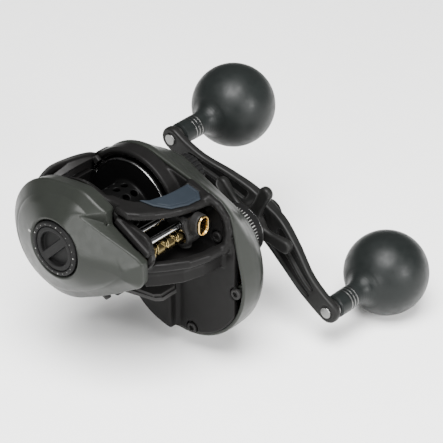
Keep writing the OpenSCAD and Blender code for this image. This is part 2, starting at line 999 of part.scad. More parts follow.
module cover_screws() {
  color([0.2, 0.2, 0.2])
    for (p = cover_screws_at)
      difference() {
        union() {
          bar_x(wall_x - 0.4, wall_x + 0.5, 2.1, p[0], p[1]);
          bar_x(wall_x + 0.4, column_x - 0.3, 1.1, p[0], p[1]);
        }
        for (k = [0:2])
          translate([wall_x - 1, p[0], p[1]])
            rotate([60 * k, 0, 0])
              translate([0, -1.1, -0.3])
                cube([1.2, 2.2, 0.6]);
      }
}

module ratio_collar() {
  color([0.1, 0.1, 0.1])
    on_crank() {
      tube_x(36, 46.1, 10.3, 8.1);
      tube_x(45.2, 46.1, 8.2, 6.7);
    }
}

module anti_reverse_bearing() {
  color("silver")
    on_crank() {
      tube_x(28.2, 35.7, 7.4, 6.2);
      for (k = [0:7])
        rotate([45 * k, 0, 0])
          bar_x(28.6, 35.3, 0.72, 5.35, 0);
      tube_x(28.2, 28.6, 6.3, 4.6);
      tube_x(35.3, 35.7, 6.3, 4.6);
    }
}

module anti_reverse_sleeve() {
  color([0.75, 0.75, 0.77])
    on_crank()
      tube_x(26.1, 41.3, 4.5, shaft_r);
}

module shaft_inner_bearing() {
  color("silver")
    on_crank()
      bearing(14.2, 16.6, 4.4, 2);
}

module shaft_outer_bearing() {
  color("silver")
    on_crank()
      bearing(41.7, 44.6, 6.4, shaft_r + pin_fit);
}

module drag_springs() {
  color("silver")
    on_crank()
      for (k = [0, 1])
        tube_x(45 + 0.8 * k, 45.7 + 0.8 * k, 5, shaft_r + pin_fit);
}

// ---- star and handle -----------------------------------------------------

module star_drag() {
  color([0.1, 0.1, 0.1])
    on_crank()
      difference() {
        union() {
          bar_x(46.9, 51.2, 7.2);
          for (k = [0:4])
            rotate([72 * k + star_aim, 0, 0])
              hull() {
                bar_x(47.3, 50.2, 3, 0, 6);
                bar_x(47.1, 49.9, 2.5, 0, star_r - 2.5);
              }
        }
        bar_x(46, 54, shaft_r + pin_fit);
      }
}

// direction of the rear, upper arm end in the YZ plane
module along_arm(s) {
  on_crank()
    rotate([arm_angle, 0, 0])
      translate([0, s * arm_len, 0])
        children();
}

module handle_arm() {
  color([0.12, 0.12, 0.12]) difference() {
    union()
      for (s = [-1, 1], k = [0:2])
        hull() {
          arm_station(s, k);
          arm_station(s, k + 1);
        }
    on_crank()
      intersection() {
        bar_x(50, 62, shaft_r + pin_fit);
        translate([50, -2.4 - pin_fit, -4])
          cube([12, 4.8 + 2 * pin_fit, 8]);
      }
    // posts and the seats of their collars
    for (s = [-1, 1])
      along_arm(s) {
        bar_x(arm_x - 1, arm_x + arm_t + 1, 2.28);
        bar_x(arm_x + arm_t, arm_x + arm_t + 3, 3.7);
      }
    // pockets in the inner face
    for (s = [-1, 1], u = [0.32, 0.44, 0.56])
      along_arm(s * u)
        bar_x(44, arm_x + 6 - 7 * (u - 0.32), 2.6);
  }
}

// a disc of the arm at one of its stations, from the knob end in to the hub
module arm_station(s, k) {
  u = [1, 0.72, 0.42, 0][k];
  x = [arm_x, arm_x + 0.8, arm_x + 4.4, arm_hub_x][k];
  along_arm(s * u)
    bar_x(x, x + [arm_t, arm_t, 4, arm_hub_t][k], [arm_end_r, 5, 7, 7.4][k]);
}

module handle_nut() {
  color([0.7, 0.7, 0.72])
    on_crank()
      difference() {
        translate([arm_hub_x + arm_hub_t, 0, 0])
          rotate([0, 90, 0])
            cylinder(h = 2.2, r = 4.6, $fn = 6);
        bar_x(59, 64, stub_r);
      }
}

module nut_retainer() {
  color([0.12, 0.12, 0.12])
    on_crank() {
      tube_x(61.9, 62.6, 5, 1);
      bar_x(57.5, 62.7, 1.08);
      bar_x(62.6, 63.4, 2);
    }
}

module knob_posts() {
  color("silver")
    for (s = [-1, 1])
      along_arm(s) {
        bar_x(arm_x - 0.5, arm_x + arm_t, 2.25);
        bar_x(arm_x + arm_t, arm_x + arm_t + 1.2, 3.6);
        bar_x(arm_x + arm_t, knob_x + 4, 2);
        bar_x(knob_x + 4, knob_x + 5, 3.4);
      }
}

module knob() {
  x0 = arm_x + arm_t + 1.4;
  difference() {
    union() {
      translate([knob_x, 0, 0])
        sphere(r = knob_r, $fn = 96);
      bar_x(x0, 70, neck_r);
    }
    bar_x(x0 - 1, knob_x + 6, 2.08);
    bar_x(knob_x + 3.8, knob_x + knob_r + 1, 3.6);
    for (k = [0:2])
      tube_x(58.4 + 1.6 * k, 58.9 + 1.6 * k, 6, 4);
  }
  bar_x(knob_x + 5.5, knob_x + knob_r - 0.4, 3.6);
}

module knob_rings() {
  for (k = [0:2])
    tube_x(58.4 + 1.6 * k, 58.9 + 1.6 * k, 4.45, 4);
}

module knob_front() {
  color([0.15, 0.16, 0.16])
    along_arm(-1)
      knob();
}

module knob_rear() {
  color([0.15, 0.16, 0.16])
    along_arm(1)
      knob();
}

module knob_front_rings() {
  color("silver")
    along_arm(-1)
      knob_rings();
}

module knob_rear_rings() {
  color("silver")
    along_arm(1)
      knob_rings();
}

// ---- nodes ---------------------------------------------------------------

frame();
reel_foot();
foot_rivets();
hood_insert();
palm_plate();
palm_spool_bearing();
palm_latch();
brake_dial_ring();
brake_dial_cap();
brake_magnets();
spool();
spool_shaft();
spool_pin();
brake_drum();
gear_side_spool_bearing();
cast_control_cap();
thumb_bar();
clutch_link();
thumb_bar_spring();
clutch_cam();
kick_lever();
clutch_yoke();
yoke_posts();
yoke_springs();
pinion();
drive_shaft();
drive_gear();
drag_washers();
drag_plates();
ratchet_wheel();
level_wind_cog();
idler_gear();
idler_pin();
worm_gear();
worm_shaft();
worm_bushes();
guide_rods();
line_guide();
line_eyelet();
guide_pawl();
pawl_cap();
gear_cover();
cover_screws();
ratio_collar();
anti_reverse_bearing();
anti_reverse_sleeve();
shaft_inner_bearing();
shaft_outer_bearing();
drag_springs();
star_drag();
handle_arm();
handle_nut();
nut_retainer();
knob_posts();
knob_front();
knob_rear();
knob_front_rings();
knob_rear_rings();
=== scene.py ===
import json
import math
from contextlib import contextmanager

import bmesh
import bpy
import numpy as np
import openvdb as vdb
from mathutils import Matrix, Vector


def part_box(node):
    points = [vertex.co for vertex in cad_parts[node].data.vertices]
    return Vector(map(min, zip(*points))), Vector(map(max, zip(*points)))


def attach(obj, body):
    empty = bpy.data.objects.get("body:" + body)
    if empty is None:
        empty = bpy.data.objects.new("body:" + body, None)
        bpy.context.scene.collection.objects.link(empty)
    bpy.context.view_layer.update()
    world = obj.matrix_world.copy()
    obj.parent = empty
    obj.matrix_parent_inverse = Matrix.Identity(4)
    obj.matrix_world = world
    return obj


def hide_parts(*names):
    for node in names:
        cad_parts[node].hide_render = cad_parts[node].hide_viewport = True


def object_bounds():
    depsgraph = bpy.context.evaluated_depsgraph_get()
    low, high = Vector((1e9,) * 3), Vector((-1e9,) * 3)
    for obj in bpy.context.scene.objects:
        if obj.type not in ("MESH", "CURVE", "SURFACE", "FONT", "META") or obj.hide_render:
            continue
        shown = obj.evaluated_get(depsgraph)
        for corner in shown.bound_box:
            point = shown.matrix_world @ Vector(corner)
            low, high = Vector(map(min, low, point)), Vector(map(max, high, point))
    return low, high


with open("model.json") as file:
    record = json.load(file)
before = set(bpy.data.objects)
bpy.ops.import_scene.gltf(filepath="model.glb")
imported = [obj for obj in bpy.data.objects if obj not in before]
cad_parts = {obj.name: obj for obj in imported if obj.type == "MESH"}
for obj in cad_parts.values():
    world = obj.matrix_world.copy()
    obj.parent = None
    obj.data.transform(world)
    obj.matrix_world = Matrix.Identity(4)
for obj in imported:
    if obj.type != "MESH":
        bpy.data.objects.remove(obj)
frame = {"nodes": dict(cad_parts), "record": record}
cad_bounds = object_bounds()

# Shapes are worked out in millimetres in the object's frame and written out in metres.
# X runs from the palm side plate to the handle, -Y is the front and +Z is up.
MM = 0.001


# ---- places taken from the frame, and sizes that pieces share -------------

def corners(node):
    """lowest and highest corner of a CAD node, in millimetres"""
    lo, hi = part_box(node)
    return np.array(lo) / MM, np.array(hi) / MM


def centre_yz(node):
    lo, hi = corners(node)
    return (lo[1] + hi[1]) / 2, (lo[2] + hi[2]) / 2


SY, SZ = centre_yz("spool_shaft")
CY, CZ = centre_yz("drive_shaft")
WY, WZ = centre_yz("worm_gear")
RODS_LO, RODS_HI = corners("guide_rods")
GUIDE_LO, GUIDE_HI = corners("line_guide")
SPOOL_LO, SPOOL_HI = corners("spool")
ARM_LO, ARM_HI = corners("handle_arm")
KNOB_LO, KNOB_HI = corners("knob_rear")
# the upper and the lower guide rod, as (y, z)
ROD_R = 1.25
ROD_A = (RODS_HI[1] - ROD_R, RODS_HI[2] - ROD_R)
ROD_B = (RODS_LO[1] + ROD_R, RODS_LO[2] + ROD_R)
# the gear-side wall runs from WALL_X out to the cover's seam, set in from the cover by SKIRT
SEAM_X = 16.0
WALL_X = 13.5
SKIRT = 1.3
# rings either side of the spool, and the spool flanges
RING_R = 22.3
FLANGE_R = 18.62
RING_BORE = 19.35
# lobes of the gear side, as (y, z, radius)
NOSE = (-32.5, 28.5, 11.3)
CASE = (-19.9, 4.8, 29.0)
# the four cover screws, as (y, z); one has a longer boss
LONG_SCREW = (-36.4, 23.4)
SCREWS = [(-45.3, 2.8), (-24.0, -21.0), LONG_SCREW, (17.4, 16.0)]
# pivot of the palm plate latch, as (y, z)
LATCH_PIVOT = (-8.8, 6.6)
KNOB_R = (KNOB_HI[2] - KNOB_LO[2]) / 2
KNOB_X = KNOB_HI[0] - KNOB_R
KNOB_Y, KNOB_Z = centre_yz("knob_rear")
ARM_ANGLE = math.atan2(KNOB_Z - CZ, KNOB_Y - CY)
ARM_LEN = math.hypot(KNOB_Y - CY, KNOB_Z - CZ)


# ---- signed distance kit -------------------------------------------------

def smin(a, b, k):
    """smaller of two distances, blended over k millimetres"""
    h = np.maximum(k - np.abs(a - b), 0) / k
    return np.minimum(a, b) - h * h * k / 4


def smax(a, b, k):
    return -smin(-a, -b, k)


def union(k, *parts):
    total = parts[0]
    for part in parts[1:]:
        total = smin(total, part, k)
    return total


def cut(body, hole, k=0.4):
    return smax(body, -hole, k)


def bored(body, reach, x, *bores):
    """body with round bores (radius, from, to, softness) about the axis reach is measured from"""
    for r, lo, hi, soft in bores:
        body = cut(body, slab(reach - r, x, lo, hi), soft)
    return body


def step(v, a, b):
    """0 below a, 1 above b, smooth between"""
    t = np.clip((v - a) / (b - a), 0, 1)
    return t * t * (3 - 2 * t)


def slab(flat, axis, lo, hi, r=0.0):
    """a flat distance extruded along an axis, its edges rounded by r"""
    a = flat + r
    b = np.abs(axis - (lo + hi) / 2) - (hi - lo) / 2 + r
    return np.minimum(np.maximum(a, b), 0) + np.hypot(np.maximum(a, 0), np.maximum(b, 0)) - r


def strip(v, middle, half):
    """distance to the strip of v that reaches half to either side of a middle"""
    return np.abs(v - middle) - half


def disc(u, v, cu, cv, r):
    return np.hypot(u - cu, v - cv) - r


def turned(y, z, at, angle):
    """place along and across a direction at an angle from +Y, seen from a centre"""
    dy, dz = y - at[0], z - at[1]
    c, s = math.cos(angle), math.sin(angle)
    return dy * c + dz * s, dz * c - dy * s


def outline(points, u, v):
    """signed distance to a closed outline of points"""
    best = np.full(np.broadcast(u, v).shape, 1e9, np.float32)
    sign = np.ones_like(best)
    for (a0, a1), (b0, b1) in zip(points, list(points[1:]) + [points[0]]):
        e0, e1 = b0 - a0, b1 - a1
        length = e0 * e0 + e1 * e1
        if length < 1e-9:
            continue
        w0, w1 = u - a0, v - a1
        t = np.clip((w0 * e0 + w1 * e1) / length, 0, 1)
        best = np.minimum(best, (w0 - e0 * t) ** 2 + (w1 - e1 * t) ** 2)
        above, below, side = v >= a1, v < b1, e0 * w1 > e1 * w0
        sign = np.where((above & below & side) | (~above & ~below & ~side), -sign, sign)
    return sign * np.sqrt(best)


def link(u, v, a, b):
    """outline that wraps two circles (u, v, r); the circles may change along the grid"""
    du, dv = b[0] - a[0], b[1] - a[1]
    h = np.maximum(np.hypot(du, dv), 1e-3)
    du, dv = du / h, dv / h
    pu, pv = u - a[0], v - a[1]
    across = np.abs(pu * dv - pv * du)
    along = pu * du + pv * dv
    lean = np.clip((a[2] - b[2]) / h, -0.999, 0.999)
    upright = np.sqrt(1 - lean * lean)
    k = -lean * across + upright * along
    side = upright * across + lean * along - a[2]
    near = np.hypot(across, along) - a[2]
    far = np.hypot(across, along - h) - b[2]
    return np.where(k < 0, near, np.where(k > upright * h, far, side))


def wrapped(u, v, circles):
    """outline that wraps circles, listed in order"""
    pairs = zip(circles, circles[1:] + circles[:1])
    total = None
    for a, b in pairs:
        d = link(u, v, a, b)
        total = d if total is None else np.minimum(total, d)
    if len(circles) > 3:
        total = np.minimum(total, outline([(c[0], c[1]) for c in circles], u, v))
    return total


def hull(u, v, circles):
    """outline stretched round circles (u, v, r), with its true depth inside"""
    total = None
    for k in range(96):
        a = 2 * math.pi * k / 96
        du, dv = math.cos(a), math.sin(a)
        far = max(c[0] * du + c[1] * dv + c[2] for c in circles)
        d = u * du + v * dv - far
        total = d if total is None else np.maximum(total, d)
    return total


def arc_path(points, r, x, y, z, k=0.6):
    """round bar of radius r along points; r may be one number or one for each point"""
    radii = r if isinstance(r, (list, tuple)) else [r] * len(points)
    total = None
    for p, q, r0, r1 in zip(points, points[1:], radii, radii[1:]):
        p, q = np.array(p, float), np.array(q, float)
        e = q - p
        t = ((x - p[0]) * e[0] + (y - p[1]) * e[1] + (z - p[2]) * e[2]) / (e @ e)
        t = np.clip(t, 0, 1)
        d = np.sqrt((x - p[0] - e[0] * t) ** 2 + (y - p[1] - e[1] * t) ** 2
                    + (z - p[2] - e[2] * t) ** 2) - (r0 + (r1 - r0) * t)
        total = d if total is None else smin(total, d, k)
    return total


def curve(v, at, values):
    """smooth curve through values at the given places"""
    at, values = np.array(at, float), np.array(values, float)
    slope = np.gradient(values, at)
    v = np.clip(v, at[0], at[-1])
    i = np.clip(np.searchsorted(at, v, side="right") - 1, 0, len(at) - 2)
    h = at[i + 1] - at[i]
    t = (v - at[i]) / h
    return ((1 + 2 * t) * (1 - t) ** 2 * values[i] + t * (1 - t) ** 2 * h * slope[i]
            + t * t * (3 - 2 * t) * values[i + 1] + t * t * (t - 1) * h * slope[i + 1])


class Grid:
    """box of sample points in millimetres, on which a piece is built"""

    def __init__(self, lo, hi, size):
        self.size = size
        self.lo = np.array(lo, float) - 3 * size
        self.count = np.ceil((np.array(hi, float) + 3 * size - self.lo) / size).astype(int) + 1
        axes = [(self.lo[k] + size * np.arange(self.count[k])).astype(np.float32)
                for k in range(3)]
        self.x = axes[0][:, None, None]
        self.y = axes[1][None, :, None]
        self.z = axes[2][None, None, :]

    def piece(self, name, dist, relax=2):
        """mesh of the surface where dist is nought, without loose crumbs"""
        band = 3 * self.size
        full = np.broadcast_to(dist, self.count)
        full = np.ascontiguousarray(np.clip(full, -band, band), dtype=np.float32)
        grid = vdb.FloatGrid(background=band)
        grid.copyFromArray(full, tolerance=0)
        points, _, quads = grid.convertToPolygons(isovalue=0.0, adaptivity=0.0)
        points = (points * self.size + self.lo).astype(np.float64)
        quads = quads.astype(np.int64)
        points, quads = largest_part(points, quads)
        points = relaxed(points, quads, relax)
        if signed_volume(points, quads) < 0:
            quads = quads[:, ::-1]
        return mesh_object(name, points, quads)


def new_grid(lo, hi, size):
    """a grid and its three axes"""
    g = Grid(lo, hi, size)
    return g, g.x, g.y, g.z


def largest_part(points, quads):
    """drops every part of the surface that is under a fiftieth of the largest"""
    label = np.arange(len(points))
    edges = np.concatenate([quads[:, [0, 1]], quads[:, [1, 2]], quads[:, [2, 3]]])
    while True:
        low = np.minimum(label[edges[:, 0]], label[edges[:, 1]])
        new = label.copy()
        np.minimum.at(new, edges[:, 0], low)
        np.minimum.at(new, edges[:, 1], low)
        new = new[new]
        new = new[new]
        if np.array_equal(new, label):
            break
        label = new
    names, sizes = np.unique(label, return_counts=True)
    keep = np.isin(label, names[sizes > sizes.max() / 50])
    renumber = np.cumsum(keep) - 1
    return points[keep], renumber[quads[keep[quads].all(axis=1)]]


def relaxed(points, quads, rounds):
    """evens out the steps of the grid, without shrinking the shape"""
    a = quads.ravel()
    b = np.roll(quads, -1, axis=1).ravel()
    count = np.bincount(a, minlength=len(points)) + np.bincount(b, minlength=len(points))
    for pull in [0.5, -0.52] * rounds:
        total = np.zeros_like(points)
        for k in range(3):
            total[:, k] = (np.bincount(a, points[b, k], len(points))
                           + np.bincount(b, points[a, k], len(points)))
        points = points + pull * (total / np.maximum(count, 1)[:, None] - points)
    return points


def signed_volume(points, quads):
    a, b, c, d = (points[quads[:, k]] for k in range(4))
    return (np.einsum("ij,ij->i", a, np.cross(b, c)) + np.einsum("ij,ij->i", a, np.cross(c, d))).sum()


def placed(name, data):
    """object of its own for the data, in the scene"""
    obj = bpy.data.objects.new(name, data)
    bpy.context.scene.collection.objects.link(obj)
    return obj


@contextmanager
def editing(mesh):
    """the mesh as a bmesh, written back at the end"""
    work = bmesh.new()
    work.from_mesh(mesh)
    yield work
    work.to_mesh(mesh)
    work.free()


def mesh_object(name, points, faces):
    """object from points in millimetres and an array of faces"""
    mesh = bpy.data.meshes.new(name)
    faces = np.asarray(faces)
    sides = faces.shape[1]
    mesh.vertices.add(len(points))
    mesh.vertices.foreach_set("co", (np.asarray(points) * MM).astype(np.float32).ravel())
    mesh.loops.add(faces.size)
    mesh.loops.foreach_set("vertex_index", faces.astype(np.int32).ravel())
    mesh.polygons.add(len(faces))
    mesh.polygons.foreach_set("loop_start", (np.arange(len(faces)) * sides).astype(np.int32))
    mesh.update(calc_edges=True)
    mesh.validate()
    mesh.shade_smooth()
    return placed(name, mesh)


# ---- turned parts --------------------------------------------------------

def filleted(profile, r, arc_steps=5):
    """profile of (x, radius) points with its corners rounded by r"""
    out = [np.array(profile[0], float)]
    for before, here, after in zip(profile, profile[1:], profile[2:]):
        here = np.array(here, float)
        a, b = np.array(before, float) - here, np.array(after, float) - here
        la, lb = np.linalg.norm(a), np.linalg.norm(b)
        a, b = a / la, b / lb
        turn = math.pi - math.acos(np.clip(a @ b, -1, 1))
        back = min(r * math.tan(turn / 2), la * 0.45, lb * 0.45)
        if turn < 0.05 or back < 1e-3:
            out.append(here)
            continue
        start, end = here + a * back, here + b * back
        for t in np.linspace(0, 1, arc_steps):
            out.append((1 - t) ** 2 * start + 2 * t * (1 - t) * here + t * t * end)
    out.append(np.array(profile[-1], float))
    return np.array(out)


def lathe(name, profile, at, turns=96, r=0.3, ripple=None):
    """profile of (x, radius) points turned about an axis along X at (y, z)

    A closed profile repeats its first point. ripple(x, radius, angle) gives a new radius.
    """
    shape = filleted(profile, r)
    closed = np.allclose(profile[0], profile[-1])
    if closed:
        shape = shape[:-1]
    angle = np.arange(turns) * 2 * math.pi / turns
    x = np.repeat(shape[:, 0], turns)
    radius = np.repeat(shape[:, 1], turns)
    theta = np.tile(angle, len(shape))
    if ripple is not None:
        radius = ripple(x, radius, theta)
    points = np.stack([x, at[0] + radius * np.cos(theta), at[1] + radius * np.sin(theta)], axis=1)
    rows = len(shape) if closed else len(shape) - 1
    i, j = np.meshgrid(np.arange(rows), np.arange(turns), indexing="ij")
    i, j = i.ravel(), j.ravel()
    i1, j1 = (i + 1) % len(shape), (j + 1) % turns
    quads = np.stack([i * turns + j, i * turns + j1, i1 * turns + j1, i1 * turns + j], axis=1)
    obj = mesh_object(name, points, quads)
    with editing(obj.data) as work:
        bmesh.ops.remove_doubles(work, verts=work.verts, dist=1e-6)
        bmesh.ops.recalc_face_normals(work, faces=work.faces)
    obj.data.shade_smooth()
    obj.data.set_sharp_from_angle(angle=math.radians(50))
    return obj


def tube(x0, x1, ro, ri):
    """closed profile of a plain tube, for lathe()"""
    return [(x0, ri), (x0, ro), (x1, ro), (x1, ri), (x0, ri)]


def joined(name, parts):
    """one object from several"""
    merged = bmesh.new()
    for part in parts:
        merged.from_mesh(part.data)
    mesh = bpy.data.meshes.new(name)
    merged.to_mesh(mesh)
    merged.free()
    for part in parts:
        old = part.data
        bpy.data.objects.remove(part)
        bpy.data.meshes.remove(old)
    mesh.shade_smooth()
    mesh.set_sharp_from_angle(angle=math.radians(50))
    return placed(name, mesh)


def dressed(node, name, width=0.25, segments=3):
    """copy of a CAD node with its edges rounded"""
    mesh = frame["nodes"][node].data.copy()
    mesh.materials.clear()
    with editing(mesh) as work:
        bmesh.ops.remove_doubles(work, verts=work.verts, dist=2e-6)
        bmesh.ops.dissolve_limit(work, angle_limit=math.radians(2), verts=work.verts,
                                 edges=work.edges)
        sharp = [e for e in work.edges if len(e.link_faces) == 2
                 and e.calc_face_angle() > math.radians(32)]
        bmesh.ops.bevel(work, geom=sharp, offset=width * MM, offset_type="OFFSET",
                        segments=segments, profile=0.5, affect="EDGES", clamp_overlap=True)
        bmesh.ops.triangulate(work, faces=[f for f in work.faces if len(f.verts) > 4])
    mesh.shade_smooth()
    mesh.set_sharp_from_angle(angle=math.radians(40))
    return placed(name, mesh)


# ---- materials -----------------------------------------------------------

def add_node(tree, kind, **values):
    """shader node with values for its inputs; _ stands for the space in an input's name"""
    node = tree.nodes.new("ShaderNode" + kind)
    for key, value in values.items():
        node.inputs[key.replace("_", " ")].default_value = value
    return node


def noise(tree, place, size, detail, direction=(1, 1, 1)):
    """noise of a size in millimetres, dragged along a direction"""
    mapping = add_node(tree, "Mapping", Scale=direction)
    node = add_node(tree, "TexNoise", Scale=1 / (size * MM), Detail=detail)
    tree.links.new(place.outputs["Object"], mapping.inputs["Vector"])
    tree.links.new(mapping.outputs["Vector"], node.inputs["Vector"])
    return node.outputs["Fac"]


def remap(tree, source, lo, hi, from_lo=0.3, from_hi=0.7):
    node = add_node(tree, "MapRange", From_Min=from_lo, From_Max=from_hi, To_Min=lo, To_Max=hi)
    tree.links.new(source, node.inputs["Value"])
    return node.outputs["Result"]


def mixed(tree, factor):
    """mix of two colours by a factor"""
    mix = add_node(tree, "Mix")
    mix.data_type = "RGBA"
    tree.links.new(factor, mix.inputs["Factor"])
    return mix


def mottled(tree, place, colour, mottle, size):
    """colour that drifts a little darker and lighter in blotches"""
    mix = mixed(tree, remap(tree, noise(tree, place, size, 4), 0, 1))
    mix.inputs["A"].default_value = tuple(c * (1 - mottle) for c in colour) + (1,)
    mix.inputs["B"].default_value = tuple(c * (1 + mottle) for c in colour) + (1,)
    return mix.outputs["Result"]


def worn_and_edge_lit(tree, place, base, wear_and_highlight, wear_and_highlight_colour):
    """base with the raised edges lightened in patches: partly rubbed wear, partly a painted edge
    highlight
    """
    edges = add_node(tree, "Math")
    edges.operation = "MULTIPLY"
    # raised edges take a lighter colour: partly rubbed wear, partly a painted edge highlight
    raised = add_node(tree, "NewGeometry").outputs["Pointiness"]
    tree.links.new(remap(tree, raised, 0, wear_and_highlight, 0.52, 0.62), edges.inputs[0])
    tree.links.new(remap(tree, noise(tree, place, 1.6, 3), 0.35, 1), edges.inputs[1])
    mix = mixed(tree, edges.outputs["Value"])
    mix.inputs["B"].default_value = tuple(wear_and_highlight_colour) + (1,)
    tree.links.new(base, mix.inputs["A"])
    return mix.outputs["Result"]


def look(name, colour, metallic=0.0, rough=0.4, rough_spread=0.08, mottle=0.08, mottle_size=9.0,
         grain=0.02, grain_size=0.25, stretch=(1, 1, 1), wear_and_highlight=0.0, wear_and_highlight_colour=(0.5, 0.5, 0.5),
         sheen=0.0, specular=0.5):
    """procedural finish: mottled colour, uneven gloss, fine grain and raised edges lightened as wear
    and as a painted edge highlight

    Sizes are in millimetres. stretch drags the grain along an axis.
    """
    mat = bpy.data.materials.new(name)
    mat.use_nodes = True
    tree = mat.node_tree
    shader = tree.nodes["Principled BSDF"]
    shader.inputs["Metallic"].default_value = metallic
    shader.inputs["Sheen Weight"].default_value = sheen
    shader.inputs["Specular IOR Level"].default_value = specular
    place = add_node(tree, "TexCoord")
    base = mottled(tree, place, colour, mottle, mottle_size)
    # raised edges are lightened, which is both edge wear and a painted edge highlight
    if wear_and_highlight > 0:
        base = worn_and_edge_lit(tree, place, base, wear_and_highlight, wear_and_highlight_colour)
    gloss = remap(tree, noise(tree, place, mottle_size / 3, 5, stretch),
                  max(rough - rough_spread, 0.03), rough + rough_spread)
    bump = add_node(tree, "Bump", Strength=0.6, Distance=grain * MM)
    tree.links.new(noise(tree, place, grain_size, 3, stretch), bump.inputs["Height"])
    tree.links.new(base, shader.inputs["Base Color"])
    tree.links.new(gloss, shader.inputs["Roughness"])
    tree.links.new(bump.outputs["Normal"], shader.inputs["Normal"])
    return mat


LOOKS = {
    "frame_black": look("satin_black_paint", (0.0056, 0.0054, 0.0053), rough=0.38, grain=0.006,
                        grain_size=0.35, wear_and_highlight=0.2, wear_and_highlight_colour=(0.03, 0.03, 0.029),
                        specular=0.06),
    "foot_black": look("anodised_foot_black", (0.016, 0.0156, 0.0152), metallic=0.1, rough=0.45,
                       grain=0.01, wear_and_highlight=0.3, wear_and_highlight_colour=(0.08, 0.08, 0.08), specular=0.12),
    "olive_metal": look("olive_satin_metal", (0.0132, 0.0145, 0.0125), metallic=0.06, rough=0.36,
                        rough_spread=0.04, mottle=0.03, grain=0.003, grain_size=0.2, specular=0.14),
    "slate_accent": look("slate_accent_paint", (0.0115, 0.0148, 0.019), rough=0.45, grain=0.01,
                         wear_and_highlight=0.2, wear_and_highlight_colour=(0.035, 0.04, 0.045), specular=0.06),
    "dial_black": look("dial_black", (0.0065, 0.0065, 0.0065), rough=0.42, grain=0.01, wear_and_highlight=0.3,
                       wear_and_highlight_colour=(0.035, 0.035, 0.035), specular=0.05),
    "spool_black": look("spool_anodised_black", (0.002, 0.002, 0.002), rough=0.4,
                        grain=0.004, stretch=(1, 0.3, 0.3), specular=0.05),
    "rim_bright": look("machined_rim", (0.16, 0.16, 0.16), metallic=1, rough=0.27, grain=0.003,
                       stretch=(4, 0.4, 0.4)),
    "steel": look("machined_steel", (0.16, 0.16, 0.157), metallic=1, rough=0.3, grain=0.004,
                  stretch=(4, 0.5, 0.5)),
    "chrome_rod": look("polished_rod", (0.5, 0.5, 0.51), metallic=1, rough=0.14, grain=0.001,
                       rough_spread=0.04),
    "brass_gear": look("cut_brass", (0.4, 0.27, 0.1), metallic=1, rough=0.3, grain=0.004),
    "worm_brass": look("turned_brass", (0.13, 0.1, 0.045), metallic=1, rough=0.3, grain=0.004),
    "gold_ring": look("gold_eyelet", (0.4, 0.27, 0.1), metallic=1, rough=0.2, grain=0.002,
                      rough_spread=0.05),
    "white_nylon": look("moulded_nylon", (0.55, 0.55, 0.52), rough=0.5, grain=0.006,
                        specular=0.3),
    "black_plastic": look("moulded_black_plastic", (0.0095, 0.0092, 0.009), rough=0.48,
                          grain=0.02, wear_and_highlight=0.3, wear_and_highlight_colour=(0.035, 0.035, 0.035),
                          specular=0.13),
    "carbon_black": look("carbon_washer", (0.018, 0.018, 0.018), rough=0.55, grain=0.03,
                         grain_size=0.6, specular=0.3),
    "bare_aluminium": look("bare_aluminium", (0.45, 0.45, 0.45), metallic=1, rough=0.35,
                           grain=0.006, stretch=(4, 0.5, 0.5)),
    "handle_black": look("handle_satin_black", (0.0075, 0.0075, 0.0072), rough=0.42,
                         specular=0.1, grain=0.01, wear_and_highlight=0.3, wear_and_highlight_colour=(0.035, 0.035, 0.035)),
    "knob_soft": look("soft_touch_rubber", (0.006, 0.0072, 0.0069), rough=0.42, grain=0.012,
                      grain_size=0.16, sheen=0.01, specular=0.15),
    "paint_white": look("painted_mark", (0.2, 0.2, 0.19), rough=0.5, grain=0.004, specular=0.1),
}


def wearing(obj, slot, *extra):
    """gives a piece its slot and its finish; extra looks fill further material slots"""
    obj.data.materials.clear()
    for name in (slot,) + extra:
        obj.data.materials.append(LOOKS[name])
    return obj


def fitted(obj, body, slot, nodes=(), extra=(), look_name=None):
    """a finished piece: its finish, the body it rides on and the CAD nodes it stands for"""
    wearing(obj, look_name or slot, *extra)
    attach(obj, body)
    if nodes:
        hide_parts(*nodes)
    return obj


# ---- frame ---------------------------------------------------------------

def gear_side(y, z, inset=0.0):
    """outline of the gear side: spool lobe, level-wind nose and crank casing"""
    return wrapped(y, z, [(SY, SZ, RING_R - inset), (NOSE[0], NOSE[1], NOSE[2] - inset),
                          (CASE[0], CASE[1], CASE[2] - inset)])


def hood_top(y):
    """height of the hood's upper face"""
    return 43.9 - 0.0044 * (y + 4) ** 2


HOOD_PLAN = [(-19.6, -21.6), (-18.2, -23.1), (-15.3, -26.0), (-10.5, -28.9), (-5.8, -31.2),
             (-0.9, -32.9), (4.0, -34.1), (9.0, -34.8), (13.6, -35.0), (15.8, -22.0), (10.4, -23.6),
             (4.0, -23.7), (0.0, -23.3), (-7.0, -21.7), (-10.6, -19.1), (-12.4, -15.7),
             (-13.2, -11.4), (-17.0, -8.0), (-17.0, -17.0), (-19.6, -17.0)]
INSERT_PLAN = [(-9.4, -20.2), (-7.9, -25.6), (-4.0, -30.3), (2.6, -32.6), (8.6, -33.1),
               (11.2, -30.0), (11.2, -24.7), (4.0, -24.5), (-0.2, -24.1), (-6.6, -22.6)]
LIP_PLAN = [(-17.0, -28.0), (-15.0, -31.2), (-11.0, -34.6), (-4.0, -39.4), (4.0, -41.8),
            (14.0, -42.6), (14.0, -38.0), (4.0, -37.6), (-3.0, -35.4), (-10.0, -31.0),
            (-13.5, -27.5)]
SKIRT_PLAN = [(-15.0, -28.0), (-11.4, -31.2), (-4.0, -36.2), (4.0, -38.6), (14.0, -39.6),
              (14.0, -37.8), (4.0, -36.8), (-3.4, -34.4), (-10.4, -29.8), (-13.4, -27.0)]
WINDOW_BEAD = [(12.0, -34.0, 39.6), (12.9, -37.6, 37.2), (13.3, -40.7, 33.4),
               (13.3, -41.9, 29.0), (12.9, -41.8, 24.4), (11.8, -41.4, 21.4)]


